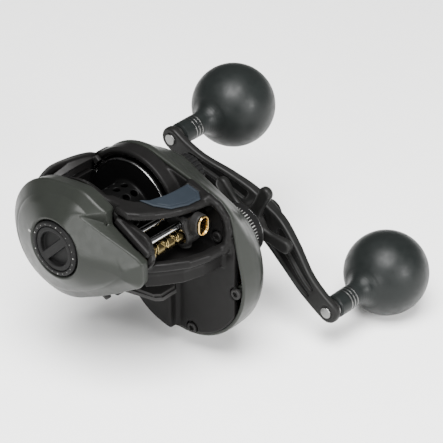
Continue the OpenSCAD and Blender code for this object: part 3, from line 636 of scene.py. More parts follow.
# where the nick in the palm plate's outline starts, and the way it runs, in (y, z)
NICK_START = (-8.8, 39.9)
NICK_RUN = (-0.873, -0.487)


def along_nick(y, z):
    """place along the nick and above it"""
    dy, dz = y - NICK_START[0], z - NICK_START[1]
    return dy * NICK_RUN[0] + dz * NICK_RUN[1], dy * NICK_RUN[1] - dz * NICK_RUN[0]


def hood_field(x, y, z):
    """bridge over the level wind, with a pocket for the insert"""
    plan = outline(HOOD_PLAN, x, y)
    top = z - hood_top(y)
    body = smax(smax(plan, top, 1.6), hood_top(y) - 2.7 - z, 0.6)
    return cut(body, smax(outline(INSERT_PLAN, x, y) - 0.35, hood_top(y) - 0.35 - z, 0.2), 0.25)


def lip_field(x, y, z):
    """lip under the window, the skirt below it and the trough behind it"""
    lip = slab(outline(LIP_PLAN, x, y), z, 19.4, 22.9, 1.3)
    skirt = slab(outline(SKIRT_PLAN, x, y) - 0.1, z, 12.6, 20.5, 0.5)
    floor = slab(outline(SKIRT_PLAN[:5] + [(14.0, -20.8), (-15.0, -20.8)], x, y), z, 17.6, 19.4, 0.3)
    back = np.maximum(np.maximum(strip(y, -21.6, 1), strip(z, 14.4, 4)), strip(x, -0.5, 14.5))
    bead = arc_path(WINDOW_BEAD, [1.5, 1.4, 1.3, 1.3, 1.4, 1.7], x, y, z, 1.0)
    return union(1.2, union(0.8, lip, skirt), bead, union(0.6, floor, back))


def shoulder_field(x, y, z):
    """edge of the frame that shows beyond the palm plate, from the hood down to the tip"""
    run, rise = along_nick(y, z)
    band = np.maximum(strip(rise, 1.35, 1.1), np.maximum(8.6 - run, run - 25.5))
    return slab(band, x, -19.4, -14.9, 0.8)


def stem_field(x, y, z):
    """flat under the spool that the foot is riveted to"""
    section = outline([(-14, 2.7), (15, 2.7), (15, 8.3), (12, 8.1), (6, 5.6), (0, 5.0), (-6, 5.6),
                       (-12, 8.0), (-17, 12.4), (-22.6, 12.4), (-22.6, 10.4), (-17, 9.6)], y, z)
    return slab(section, x, -15, 14, 0.4)


def ear_flat(y, z):
    """ears on both rings that guide the thumb bar"""
    return wrapped(y, z, [(SY + 21.4, SZ + 6.6, 2.2), (SY + 16.3, SZ + 13.6, 2.2),
                          (SY + 10, SZ + 12, 4)])


def tab_axes(y, z):
    """place along the thumb bar's travel and across it, from the middle of its tabs"""
    dy, dz = y - SY - 17, z - SZ - 12.6
    return dy * 0.6 - dz * 0.8, dy * 0.8 + dz * 0.6


def travel_slot(y, z, grow=0.3):
    """slot that a tab of the thumb bar sweeps"""
    along, across = tab_axes(y, z)
    return np.maximum(strip(along, 3.6, 5.4) - grow, np.abs(across) - 1.2 - grow)


def frame_solid(x, y, z, wall_flat):
    """walls, rings, nose, lip, hood and rear bridge, blended into one casting"""
    spool = disc(y, z, SY, SZ, 0)
    wall = slab(wall_flat, x, WALL_X, SEAM_X, 0.5)
    ring = slab(union(1.5, spool - RING_R, ear_flat(y, z)), x, 8, WALL_X + 0.6, 0.9)
    palm = slab(union(1.5, spool - 21.5 + 0.6 * (x + 17), ear_flat(y, z)), x, -17, -13.6, 0.5)
    nose_flat = wrapped(y, z, [(-14, 33, 6), (-27.4, 30.4, 5), (-28.2, 26.6, 5), (-14, 20, 9)])
    nose = slab(nose_flat, x, -17, -14.9, 0.5)
    # the wall swells inwards where it runs down beside the foot
    swell = np.maximum(gear_side(y, z, SKIRT + 0.4), np.maximum(strip(y, -7, 10), z - 5))
    fairing = slab(swell, x, 9, 14.5, 1.2)
    # the bridge closes the frame behind the spool, below the thumb bar
    bridge_flat = np.maximum(strip(spool, 20.7, 1.1), np.maximum(2 - y, strip(z, 18.0, 16.0)))
    bridge = slab(bridge_flat, x, -15, 14, 0.4)
    sides = union(1.4, union(2.2, union(1.2, wall, ring), fairing), union(1.0, palm, nose),
                  shoulder_field(x, y, z))
    body = union(1.6, sides, lip_field(x, y, z), hood_field(x, y, z))
    body = union(1.2, body, bridge, stem_field(x, y, z))
    boss = slab(disc(y, z, CY, CZ, 6), x, SEAM_X - 1, 16.8, 0.2)
    pivot = slab(disc(y, z, *LATCH_PIVOT, 1), x, -19.9, -16, 0.1)
    body = union(0.4, body, boss, pivot)
    # the pocket is cut again, because the blends above soften it
    pocket = smax(outline(INSERT_PLAN, x, y) - 0.35, hood_top(y) - 0.4 - z, 0.2)
    return cut(body, pocket, 0.2)


def frame_openings(body, x, y, z):
    """bores for the spool, shafts and rods, seats for the screws, slots for the thumb bar"""
    spool = disc(y, z, SY, SZ, 0)
    body = bored(body, spool, x, (RING_BORE, -20, -12, 0.5), (RING_BORE, 6, WALL_X, 0.5),
                 (20.4, 6, 8.9, 0.3), (6.5, 10, 18, 0.3))
    body = bored(body, disc(y, z, CY, CZ, 0), x, (4.5, 14, 18, 0.2))
    body = bored(body, disc(y, z, WY, WZ, 0), x, (3.6, -16.9, 18, 0.3))
    for rod in (ROD_A, ROD_B):
        body = bored(body, disc(y, z, *rod, 0), x, (ROD_R + 0.1, -16.7, 15.1, 0.2))
    for place in SCREWS:
        body = bored(body, disc(y, z, *place, 0), x, (2.75, WALL_X - 4, WALL_X + 1.3, 0.5))
    slot = travel_slot(y, z)
    body = cut(body, slab(slot, x, -16.6, -12), 0.2)
    body = cut(body, slab(slot, x, 6, WALL_X - 0.1), 0.2)
    # way through for the clutch link, from rest to pressed
    sweep = link(y, z, (SY + 11.5, SZ + 9.5, 1.6), (SY + 14.2, SZ + 5.9, 1.6))
    resting = link(y, z, (SY + 17, SZ + 12.6, 1.5), (SY + 11.5, SZ + 9.5, 1.7))
    pressed = link(y, z, (SY + 19.7, SZ + 9.0, 1.5), (SY + 14.2, SZ + 5.9, 1.7))
    body = cut(body, slab(sweep, x, 8, 18), 0.2)
    return cut(body, slab(np.minimum(resting, pressed), x, 8.9, 10.8), 0.2)


def build_frame():
    g, x, y, z = new_grid((-17.2, -43.6, -24.4), (16.2, 24.6, 47.6), 0.3)
    wall_flat = gear_side(y, z, SKIRT)
    body = frame_openings(frame_solid(x, y, z, wall_flat), x, y, z)
    # groove between the wall's face and the cover's edge
    groove = np.maximum(np.abs(wall_flat) - 0.12, strip(x, 14.2, 0.9))
    fitted(g.piece("frame_body", cut(body, groove, 0.2)), "frame", "frame_black", ["frame"])


def build_insert():
    """accent plate that lies in the hood's pocket"""
    g, x, y, z = new_grid((-10.2, -34.2, 38.0), (12.4, -19.6, 45.0), 0.16)
    plan = outline(INSERT_PLAN, x, y)
    plate = smax(smax(plan, z - hood_top(y) - 0.35, 0.7), hood_top(y) - 0.3 - z, 0.1)
    # a shallow line follows the front edge
    line = np.maximum(strip(plan, -1.15, 0.14), hood_top(y) + 0.15 - z)
    line = np.maximum(line, y + 26)
    obj = g.piece("hood_insert_plate", cut(plate, line, 0.1))
    return fitted(obj, "frame", "slate_accent", ["hood_insert"])


def build_foot():
    """reel foot and its rivets, from the CAD with rounded edges"""
    foot = dressed("reel_foot", "reel_foot_plate", 0.5, 4)
    fitted(foot, "frame", "foot_black", ["reel_foot"])
    rivets = dressed("foot_rivets", "foot_rivet_heads", 0.2)
    fitted(rivets, "frame", "steel", ["foot_rivets"])


# ---- palm side -----------------------------------------------------------

def palm_whole(y, z, inset=0.0):
    """outline of the palm plate before the nick is taken out"""
    return hull(y, z, [(6, 22.5, 23.4 - inset), (-4, 35, 12 - inset), (-14, 37.2, 5.5 - inset),
                       (-29.8, 25.2, 2.5 - inset), (-27.2, 19.2, 5.1 - inset)])


def palm_flat(y, z, inset=0.0):
    """outline of the palm plate, nicked where it meets the hood"""
    whole = palm_whole(y, z, inset)
    rise = along_nick(y, z)[1]
    nick = smax(-(rise - 0.1), y + 16.6, 0.6)
    return cut(whole, nick - inset * 0.5, 0.6)


def palm_height(y, z):
    """how far the plate's face stands out towards -X"""
    reach = np.hypot(y - SY, z - SZ)
    depth = np.maximum(-palm_whole(y, z), 0)
    rim = 22.8 - 2.4 * step(-y, 10, 30)
    band = 4.4 * smin(depth / 5.4, np.float32(1.0), 0.3)
    dome = depth / (depth + np.maximum(reach - 12.0, 0) + 1e-3)
    dome = (dome - 0.35) / 0.65
    face = rim + band + (31.8 - 27.2) * np.clip(dome, 0, 1) ** 0.9
    run, rise = along_nick(y, z)
    # flat facet that falls away to the tip
    face = smin(face, 27.6 - 0.28 * run - 0.66 * rise, 0.5)
    # above the nick the face ramps down to the hood
    ramp = np.minimum(face, np.maximum(27.3 - 0.86 * run, 19.4))
    above = step(rise, -0.25, 0.2) * step(run, -0.5, 0.8)
    return face + (ramp - face) * above


def bearing_carrier(x, y, z):
    """hub of the palm plate on three spokes, which holds the spool's palm bearing"""
    ring = slab(np.abs(disc(y, z, SY, SZ, 5.8)) - 0.8, x, -24.4, -20.8, 0.2)
    spokes = None
    for k in range(3):
        along, across = turned(y, z, (SY, SZ), math.radians(120 * k + 30))
        bar = np.maximum(strip(along, 11, 4.8), np.abs(across) - 1)
        spokes = bar if spokes is None else np.minimum(spokes, bar)
    return union(0.4, ring, slab(spokes, x, -24.4, -23.0, 0.2))


def build_palm_plate():
    g, x, y, z = new_grid((-32.2, -32.8, -1.4), (-16.8, 29.8, 47.4), 0.27)
    reach = disc(y, z, SY, SZ, 0)
    height = palm_height(y, z)
    # distances to the sloping face are scaled down, because they are measured along X
    face = (-x - height) * 0.85
    taper = np.clip((x + 22.5) / 5.4, 0, 1)
    plate = smax(smax(palm_flat(y, z) + taper, face, 0.8), x + 17.1, 0.3)
    cavity = slab(palm_flat(y, z, 2.0), x, -21.6, -10, 0.4)
    plate = cut(plate, np.maximum(cavity, (-x - height + 1.7) * 0.85), 0.3)
    # room for the brake drum, seat of the dial with its chamfer, and bore of the dial's stem
    plate = bored(plate, reach, x, (15.2, -26.4, -20, 0.3), (10.85, -40, -28.2, 0.35))
    plate = cut(plate, np.maximum((reach - 11.2) + (x + 31.5), reach - 12.2), 0.15)
    plate = bored(plate, reach, x, (6, -40, -20, 0.2))
    # notch for the latch
    plate = cut(plate, np.maximum(strip(y, -11.5, 6), np.maximum(z - 8, -20.2 - x)), 0.3)
    obj = g.piece("palm_plate_shell", union(0.5, plate, bearing_carrier(x, y, z)))
    fitted(obj, "palm_plate", "olive_metal", ["palm_plate"])
    # painted mark that the dial is read against
    mark = wedge("dial_index_mark", -31.86, -31.6, 12.0, 13.2, math.radians(11), 0.03)
    fitted(mark, "palm_plate", None, look_name="paint_white")


def wedge(name, x0, x1, r0, r1, angle, half, at=None):
    """small radial mark round an X axis, rounded at its corners"""
    cy, cz = at or (SY, SZ)
    ring = []
    for r, side in ((r0, -1), (r1, -1), (r1, 1), (r0, 1)):
        spread = half * side * r1 / r
        ring.append((cy + r * math.cos(angle + spread), cz + r * math.sin(angle + spread)))
    points = [(x, p[0], p[1]) for x in (x0, x1) for p in ring]
    quads = [(0, 1, 2, 3), (7, 6, 5, 4), (0, 4, 5, 1), (1, 5, 6, 2), (2, 6, 7, 3), (3, 7, 4, 0)]
    obj = mesh_object(name, points, quads)
    with editing(obj.data) as work:
        bmesh.ops.bevel(work, geom=list(work.edges), offset=0.04 * MM, offset_type="OFFSET",
                        segments=2, profile=0.5, affect="EDGES", clamp_overlap=True)
        bmesh.ops.recalc_face_normals(work, faces=work.faces)
    return obj


def build_dial_ring():
    """bezel with fine ribs round its outer edge, and the plate behind it"""
    profile = [(-28.5, 8.75), (-32.1, 8.75), (-32.4, 9.0), (-32.3, 10.1), (-31.9, 10.55),
               (-28.5, 10.55), (-28.5, 8.75)]

    def ribs(x, radius, angle):
        rib = 0.5 + 0.5 * np.cos(angle * 60)
        return radius - 0.1 * rib * (radius > 10.4) * (x < -29)

    ring = lathe("dial_bezel", profile, (SY, SZ), 240, 0.25, ribs)
    back = lathe("dial_back", [(-28.5, 4.3), (-29.1, 4.3), (-29.1, 8.7), (-28.5, 8.7), (-28.5, 5.6),
                               (-26.7, 5.6), (-26.7, 4.3), (-28.5, 4.3)], (SY, SZ), 96, 0.1)
    fitted(joined("brake_dial_bezel", [ring, back]), "brake_dial", "dial_black",
           ["brake_dial_ring"])


def build_dial_ticks():
    """plain ticks with every fifth one long"""
    ticks = []
    for k in range(21):
        end, half = (9.7, 0.008) if k % 5 else (9.95, 0.016)
        ticks.append(wedge("tick", -32.42, -32.1, 9.35, end, math.radians(20 + 16 * k), half))
    fitted(joined("brake_dial_ticks", ticks), "brake_dial", None, look_name="paint_white")


def build_dial_cap():
    """cap with a grip bar left between two pockets"""
    g, x, y, z = new_grid((-32.4, SY - 8.8, SZ - 8.8), (-29.0, SY + 8.8, SZ + 8.8), 0.14)
    reach = disc(y, z, SY, SZ, 0)
    cap = slab(reach - 8.6, x, -32.1, -29.3, 0.4)
    side = np.abs(turned(y, z, (SY, SZ), math.radians(45))[0])
    pocket = smax(reach - 6.7, 1.6 - side, 0.5)
    floor = -30.3 + 0.06 * (side - 4)
    pocket = smax(pocket, x - floor, 0.5)
    obj = g.piece("brake_dial_grip", cut(cap, pocket, 0.4))
    fitted(obj, "brake_dial", "dial_black", ["brake_dial_cap"])


def build_latch():
    """small lever that lets the palm plate go"""
    g, x, y, z = new_grid((-19.9, -15.2, 1.6), (-17.0, -6.6, 8.8), 0.12)
    flat = link(y, z, LATCH_PIVOT + (1.9,), (-12.5, 3.5, 0.75))
    lever = slab(flat, x, -19.7, -17.3, 0.35)
    lever = cut(lever, disc(y, z, *LATCH_PIVOT, 1.05) + 0 * x, 0.1)
    # grip lines across the end
    for k in range(3):
        along = (y + 11.2 + 0.75 * k) * 0.765 + (z - 4.6 + 0.63 * k) * 0.643
        lever = cut(lever, np.maximum(np.abs(along) - 0.1, x + 19.45), 0.12)
    fitted(g.piece("release_lever", lever), "palm_latch", "black_plastic", ["palm_latch"])


# ---- spool and controls --------------------------------------------------

def build_spool():
    """flared flanges on a drilled barrel, with bright rims"""
    g, x, y, z = new_grid((SPOOL_LO[0], SY - 18.7, SZ - 18.7), (SPOOL_HI[0], SY + 18.7, SZ + 18.7),
                          0.26)
    reach = disc(y, z, SY, SZ, 0)
    lift = 0.05 * np.clip(reach - 10, 0, 9)
    near = np.abs(x - (-14.75) + lift * 0.6) - 0.55 - 0.3 * step(reach, 17.6, 18.4)
    far = np.abs(x - 7.75 - lift * 0.6 + 0.27) - 0.5 - 0.25 * step(reach, 17.6, 18.4)
    flanges = smax(np.minimum(near, far), reach - FLANGE_R, 0.5)
    barrel = slab(strip(reach, 9.4, 0.6), x, -15.4, 8.4, 0.1)
    for k in range(12):
        ahead, across = turned(y, z, (SY, SZ), math.radians(30 * k))
        for place in (-10.5, -6.2, 0.2, 4.3):
            hole = np.maximum(np.hypot(x - place, across) - 1.35, 5 - ahead)
            barrel = cut(barrel, hole, 0.3)
    web = slab(reach - 9.2, x, -4.4, -3.0, 0.1)
    hub = slab(reach - 3.2, x, -8, 12.4, 0.3)
    body = union(0.8, smin(flanges, barrel, 1.2), union(0.6, web, hub))
    body = cut(body, slab(reach - 1.55, x, -20, 20), 0.1)
    obj = g.piece("spool_drum", body)
    fitted(obj, "spool", "spool_black", ["spool"], extra=["rim_bright"])
    count = len(obj.data.polygons)
    centre = np.zeros(count * 3)
    obj.data.polygons.foreach_get("center", centre)
    centre = centre.reshape(-1, 3) / MM
    rim = np.hypot(centre[:, 1] - SY, centre[:, 2] - SZ) > 17.9
    obj.data.polygons.foreach_set("material_index", rim.astype(np.int32))


def build_cast_cap():
    """knurled cap on the end of the spool shaft"""
    lo, hi = corners("cast_control_cap")
    profile = [(lo[0] + 0.1, 6.4), (lo[0] + 0.1, 7.3), (hi[0] - 0.2, 7.3), (hi[0], 6.2),
               (hi[0], 0.001)]

    def knurl(x, radius, angle):
        cuts = np.clip(np.cos(angle * 24), 0, 1) ** 2
        return radius - 0.45 * cuts * (radius > 6.9)

    shell = lathe("cap_shell", [(lo[0] + 2.8, 0.001), (lo[0] + 2.8, 6.4)] + profile, (SY, SZ), 240,
                  0.35, knurl)
    fitted(shell, "cast_cap", "dial_black", ["cast_control_cap"])
    shell.name = "cast_control_knob"


def build_thumb_bar():
    """pad whose upper edge (degrees round the spool) and crown (radius) change along X"""
    g, x, y, z = new_grid((-17.0, 8.0, 29.5), (13.1, 26.6, 46.0), 0.22)
    reach = disc(y, z, SY, SZ, 0)
    angle = np.degrees(np.arctan2(z - SZ, y - SY))
    places = [-17, -12, -6, 0, 5, 9, 13]
    top = curve(x, places, [28, 36.5, 44.5, 46, 43.5, 38, 30])
    crown = curve(x, places, [26.6, 27.7, 26.7, 25.7, 24.8, 24.1, 24.0])
    span = (np.maximum(angle - top, 20 - angle)) * math.radians(1) * 24
    outer = crown - 0.09 * (top - angle)
    mid = slab(np.maximum(strip(reach, 23.2, 1.2), span + 1.5), x, -13.3, 7.7, 0.4)
    shell = slab(smax(np.abs(reach - outer + 0.75) - 0.75, span, 1.0), x, -16.7, 12.8, 0.6)
    bar = union(0.8, mid, shell)
    # grip lines across the pad
    for k in range(4):
        groove = np.abs(angle - 23.5 - 3 * k) * math.radians(1) * 25 - 0.16
        groove = np.maximum(groove, outer - 0.3 - reach)
        bar = cut(bar, np.maximum(groove, strip(x, -2.2, 6.5)), 0.15)
    along, across = tab_axes(y, z)
    tab = np.maximum(np.abs(along) - 1.5, np.abs(across) - 1.2)
    tabs = np.minimum(slab(tab, x, -16.4, -12.6, 0.2), slab(tab, x, 7.0, 9.2, 0.2))
    obj = g.piece("thumb_bar_pad", union(0.3, bar, tabs))
    fitted(obj, "thumb_bar", "black_plastic", ["thumb_bar"])


# ---- level wind ----------------------------------------------------------

def build_worm():
    """shaft with a crossed groove between two collars"""
    lo, hi = corners("worm_shaft")
    x = np.concatenate([np.linspace(lo[0], -14.8, 4), np.linspace(-14.7, 13.3, 260),
                        np.linspace(13.4, hi[0], 6)])
    turns = 72
    angle = np.arange(turns) * 2 * math.pi / turns
    gx, ga = np.meshgrid(x, angle, indexing="ij")
    pitch = 5.2
    inside = (gx > -13.7) & (gx < 12.3)
    right = np.abs((gx / pitch - ga / (2 * math.pi) + 0.5) % 1 - 0.5) * pitch
    left = np.abs((gx / pitch + ga / (2 * math.pi) + 0.5) % 1 - 0.5) * pitch
    deep = 0.75 * (1 - step(np.minimum(right, left), 0.45, 0.8))
    collar = ((gx > -14.75) & (gx < -13.9)) | ((gx > 12.5) & (gx < 13.35))
    journal = (gx < -14.75) | (gx > 13.35)
    radius = np.where(collar, 2.85, np.where(journal, 1.6, 2.3 - deep * inside))
    points = np.stack([gx, WY + radius * np.cos(ga), WZ + radius * np.sin(ga)], axis=-1)
    points = points.reshape(-1, 3)
    i, j = np.meshgrid(np.arange(len(x) - 1), np.arange(turns), indexing="ij")
    i, j = i.ravel(), j.ravel()
    j1 = (j + 1) % turns
    quads = np.stack([i * turns + j, (i + 1) * turns + j, (i + 1) * turns + j1, i * turns + j1],
                     axis=1)
    obj = mesh_object("worm_screw", points, quads)
    with editing(obj.data) as work:
        bmesh.ops.holes_fill(work, edges=[e for e in work.edges if e.is_boundary], sides=0)
        bmesh.ops.recalc_face_normals(work, faces=work.faces)
    obj.data.set_sharp_from_angle(angle=math.radians(55))
    fitted(obj, "worm", "worm_brass", ["worm_shaft"])


def build_rods():
    """two polished rods that the line guide slides on"""
    lo, hi = RODS_LO[0], RODS_HI[0]
    rods = []
    for rod in (ROD_A, ROD_B):
        profile = [(lo, 0.001), (lo, ROD_R), (hi, ROD_R), (hi, 0.001)]
        rods.append(lathe("rod", profile, rod, 48, 0.2))
    fitted(joined("level_wind_rods", rods), "frame", "chrome_rod", ["guide_rods"])


def oval(x, z, cx, cz, rx, rz):
    """upright oval with round ends"""
    return np.hypot(x - cx, np.maximum(np.abs(z - cz) - (rz - rx), 0)) - rx


def build_line_guide():
    """carriage on the rods and the worm, with an oval eyelet in its collar"""
    cx, cz = (GUIDE_LO[0] + GUIDE_HI[0]) / 2, 33.0
    g, x, y, z = new_grid((GUIDE_LO[0], -37.8, 20.6), (GUIDE_HI[0], -20.6, 38.0), 0.18)
    block_flat = union(0.8, link(y, z, ROD_A + (2.3,), ROD_B + (2.3,)),
                       link(y, z, ROD_B + (2.3,), (WY, WZ, 4.1)),
                       link(y, z, ROD_A + (2.3,), (WY, WZ, 4.1)))
    block = slab(block_flat, x, GUIDE_LO[0], GUIDE_HI[0], 0.6)
    neck = np.maximum(np.maximum(strip(x, cx, 2.6), strip(y, -33, 3)), strip(z, 32, 3))
    collar = slab(oval(x, z, cx, cz, 3.15, 4.15), y, -37.4, -34.0, 0.5)
    pawl = np.maximum(np.hypot(x - cx, y - WY) - 2.2, np.abs(z - WZ + 4.0) - 0.6)
    body = union(0.8, block, neck, collar, pawl)
    for rod in (ROD_A, ROD_B):
        body = cut(body, disc(y, z, *rod, ROD_R + 0.1) + 0 * x, 0.2)
    body = cut(body, disc(y, z, WY, WZ, 3.1) + 0 * x, 0.2)
    body = cut(body, np.maximum(np.hypot(x - cx, y - WY) - 1.5, z - WZ), 0.2)
    body = cut(body, np.maximum(oval(x, z, cx, cz, 2.32, 3.52), y + 32.8), 0.2)
    fitted(g.piece("line_guide_block", body), "line_guide", "black_plastic", ["line_guide"])
    g, x, y, z = new_grid((cx - 2.8, -38.5, cz - 4.0), (cx + 2.8, -33.3, cz + 4.0), 0.1)
    outer = slab(oval(x, z, cx, cz, 2.28, 3.48), y, -38.2, -33.5, 0.3)
    lip = slab(oval(x, z, cx, cz, 2.68, 3.88), y, -38.4, -37.4, 0.45)
    ring = union(0.3, outer, lip)
    flare = 0.35 * step(-y, 37.2, 38.6) + 0.3 * step(y, -34.4, -33.3)
    ring = cut(ring, oval(x, z, cx, cz, 1.85, 3.05) - flare, 0.15)
    fitted(g.piece("line_guide_eyelet", ring), "line_guide", "gold_ring", ["line_eyelet"])


# ---- gear side -----------------------------------------------------------

def cover_flat(x, y, z, inset=0.0):
    """outline of the cover at each x, drawn in from the seam to the crank boss"""
    spool = curve(x, [13, 16, 19.5, 23.5, 27.5, 31.5, 35.8], [22.3, 22.3, 20.1, 17.4, 15.0, 12.2, 8.6])
    case = curve(x, [13, 21, 24, 27, 29.5, 32.5, 35.8], [29.0, 29.0, 28.7, 27.1, 24.9, 21.6, 16.4])
    gone = 0.99 * step(x, 13.5, 26.0)
    nose_y = NOSE[0] + (CASE[0] - NOSE[0]) * gone
    nose_z = NOSE[1] + (CASE[1] - NOSE[1]) * gone
    nose_r = NOSE[2] + (case - NOSE[2]) * gone
    lobes = [(SY, SZ, spool - inset), (CASE[0], CASE[1], case - inset),
             (nose_y, nose_z, nose_r - inset)]
    spool_case = link(y, z, lobes[0], lobes[1])
    case_nose = link(y, z, lobes[1], lobes[2])
    nose_spool = link(y, z, lobes[2], lobes[0])
    return np.minimum(np.minimum(spool_case, case_nose), nose_spool)


def build_gear_cover():
    """hollow shell with a crank boss, a hub for the cast cap and a boss for each screw"""
    g, x, y, z = new_grid((14.0, -49.2, -24.6), (45.2, 22.6, 47.5), 0.36)
    x = x.astype(np.float32)
    skin = cover_flat(x, y, z)
    outer = smax(skin * 0.9, x - 35.5, 2.2)
    outer = smax(outer, 14.1 - x, 0.5)
    crank = disc(y, z, CY, CZ, 0)
    spool = disc(y, z, SY, SZ, 0)
    boss = slab(crank - 8, x, 30, 45, 0.4)
    hub = slab(spool - 6.2, x, 30, 38.4, 0.3)
    outer = union(1.5, outer, np.minimum(boss, hub))
    cavity = smax(skin * 0.9 + 1.3, x - 33.6, 2.0)
    rim = np.maximum(gear_side(y, z, SKIRT + 0.12), x - SEAM_X - 0.1)
    cavity = np.minimum(np.maximum(cavity, SEAM_X - x), rim)
    solid = np.minimum(slab(crank - 9.2, x, 28.1, 46), slab(spool - 6.6, x, 29.6, 46))
    for place in SCREWS:
        end = 27 if place == LONG_SCREW else 19.4
        solid = np.minimum(solid, slab(disc(y, z, *place, 2.2), x, SEAM_X, end))
    shell = cut(outer, np.maximum(cavity, -solid), 0.3)
    shell = bored(shell, crank, x, (7.5, 27, 35.9, 0.2), (5.6, 35, 46, 0.2), (6.5, 41.6, 46, 0.2))
    shell = bored(shell, spool, x, (5.05, 29, 33.5, 0.2), (2.2, 30, 40, 0.2))
    for place in SCREWS:
        shell = bored(shell, disc(y, z, *place, 0), x, (1.15, 10, 19.3, 0.1))
    obj = g.piece("gear_cover_shell", shell)
    fitted(obj, "frame", "olive_metal", ["gear_cover"])


def build_screws():
    """button heads with a six-lobed socket, on plain shanks"""
    heads = []
    lo, hi = corners("cover_screws")
    for sy, sz in SCREWS:
        g, x, y, z = new_grid((lo[0], sy - 2.2, sz - 2.2), (hi[0], sy + 2.2, sz + 2.2), 0.11)
        reach = disc(y, z, sy, sz, 0)
        angle = np.arctan2(z - sz, y - sy)
        head = slab(reach - 2.05, x, lo[0], lo[0] + 1.5, 0.35)
        star = reach - 1.05 - 0.16 * np.cos(6 * angle)
        head = cut(head, np.maximum(star, x - lo[0] - 1.0), 0.12)
        shank = slab(reach - 1.08, x, lo[0] + 1.2, hi[0], 0.15)
        heads.append(g.piece("screw", union(0.1, head, shank), 1))
    fitted(joined("cover_screw_heads", heads), "frame", "black_plastic", ["cover_screws"])


def build_collar():
    """collar round the crank shaft with a bright line and plain ticks"""
    lo, hi = corners("ratio_collar")
    profile = [(lo[0], 8.15), (lo[0], 10.25), (hi[0] - 1.0, 10.25), (hi[0] - 0.75, 9.95),
               (hi[0] - 0.1, 9.7), (hi[0], 8.9), (hi[0], 6.75), (hi[0] - 0.9, 6.75),
               (hi[0] - 0.9, 8.15), (lo[0], 8.15)]
    collar = lathe("crank_collar", profile, (CY, CZ), 160, 0.15)
    fitted(collar, "frame", "dial_black", ["ratio_collar"])
    band = lathe("crank_collar_bright_line", tube(hi[0] - 1.05, hi[0] - 0.5, 10.25, 9.6), (CY, CZ),
                 160, 0.06)
    fitted(band, "frame", "steel", look_name="rim_bright")
    marks = []
    for k in range(26):
        a = math.radians(90 + 7 * k)
        long = k % 4 == 0
        mark = wedge("mark", lo[0] + (3.0 if long else 4.4), lo[0] + 6.6, 10.15, 10.29, a,
                     0.018 if long else 0.01, (CY, CZ))
        marks.append(mark)
    fitted(joined("crank_collar_marks", marks), "frame", None, look_name="paint_white")


# ---- star, arm and knobs -------------------------------------------------

def build_star():
    """five fingers on a hub; half is a finger's half width, middle and thick its place along X"""
    lo, hi = corners("star_drag")
    g, x, y, z = new_grid((lo[0], CY - 20.9, CZ - 20.9), (hi[0], CY + 20.9, CZ + 20.9), 0.24)
    reach = disc(y, z, CY, CZ, 0)
    star = slab(reach - 7.1, x, 46.9, 51.1, 0.7)
    for k in range(5):
        u, v = turned(y, z, (CY, CZ), math.radians(44 + 72 * k))
        half = curve(u, [0, 6, 11, 16, 18.3, 30], [3.6, 3.2, 2.45, 2.7, 2.75, 2.75])
        tip = np.hypot(np.maximum(u - 18.0, 0), v) - half
        middle = curve(u, [0, 6, 12, 18.3, 30], [49.0, 48.9, 48.9, 49.2, 49.2])
        thick = curve(u, [0, 6, 12, 16, 20.7, 30], [1.5, 1.5, 1.35, 1.7, 1.75, 1.75])
        face = np.abs(x - middle) - thick
        finger = smax(np.maximum(tip, -u), face, 1.5)
        star = smin(star, finger, 2.0)
    star = cut(star, reach - 3.06 + 0 * x, 0.2)
    fitted(g.piece("star_wheel", star), "star", "handle_black", ["star_drag"])


def build_arm():
    """double arm that steps down towards the knobs; marks are shares of its length"""
    g, x, y, z = new_grid(ARM_LO, ARM_HI, 0.33)
    along, v = turned(y, z, (CY, CZ), ARM_ANGLE)
    u = np.abs(along)
    marks = [0, 0.16, 0.42, 0.72, 0.88, 1.1]
    places = [m * ARM_LEN for m in marks]
    half = curve(u, places, [7.3, 7.5, 6.7, 5.1, 4.7, 4.65])
    base = curve(u, places, [55.2, 54.9, 52.5, 48.95, 48.2, 48.1])
    thick = curve(u, places, [4.4, 4.3, 3.9, 3.45, 3.4, 3.4])
    flat = np.hypot(np.maximum(u - ARM_LEN, 0), v) - half
    face = (np.abs(x - base - thick / 2) - thick / 2) * 0.97
    arm = smax(flat + 0 * x, face, 1.3)
    # long pockets in the inner face, either side of a rib
    for sign in (-1, 1):
        middle = sign * curve(u, places, [2.9, 3.1, 2.9, 2.1, 1.6, 1.4])
        width = curve(u, places, [1.2, 2.1, 2.0, 1.2, 0.2, 0.0])
        pocket = smax(np.abs(v - middle) - width, np.abs(u - 0.5 * ARM_LEN) - 0.3 * ARM_LEN, 1.5)
        floor = x - base - 1.3
        arm = cut(arm, smax(pocket, floor, 0.5), 0.4)
    # raised pad round the hub and grooves round the knob posts
    hub = slab(np.hypot(along, v) - 6.9, x, 55.0, 59.6, 0.6)
    arm = smin(arm, hub, 1.0)
    flats = np.maximum(np.hypot(along, v) - 3.05, np.abs(along) - 5)
    arm = cut(arm, flats + 0 * x, 0.15)
    for sign in (-1, 1):
        post = np.hypot(along - sign * ARM_LEN, v)
        arm = cut(arm, post - 2.3 + 0 * x, 0.1)
        ring = np.maximum(strip(post, 3.1, 0.16), x - base - 0.25)
        arm = cut(arm, ring, 0.1)
    fitted(g.piece("handle_arm_bar", arm), "crank", "handle_black", ["handle_arm"])


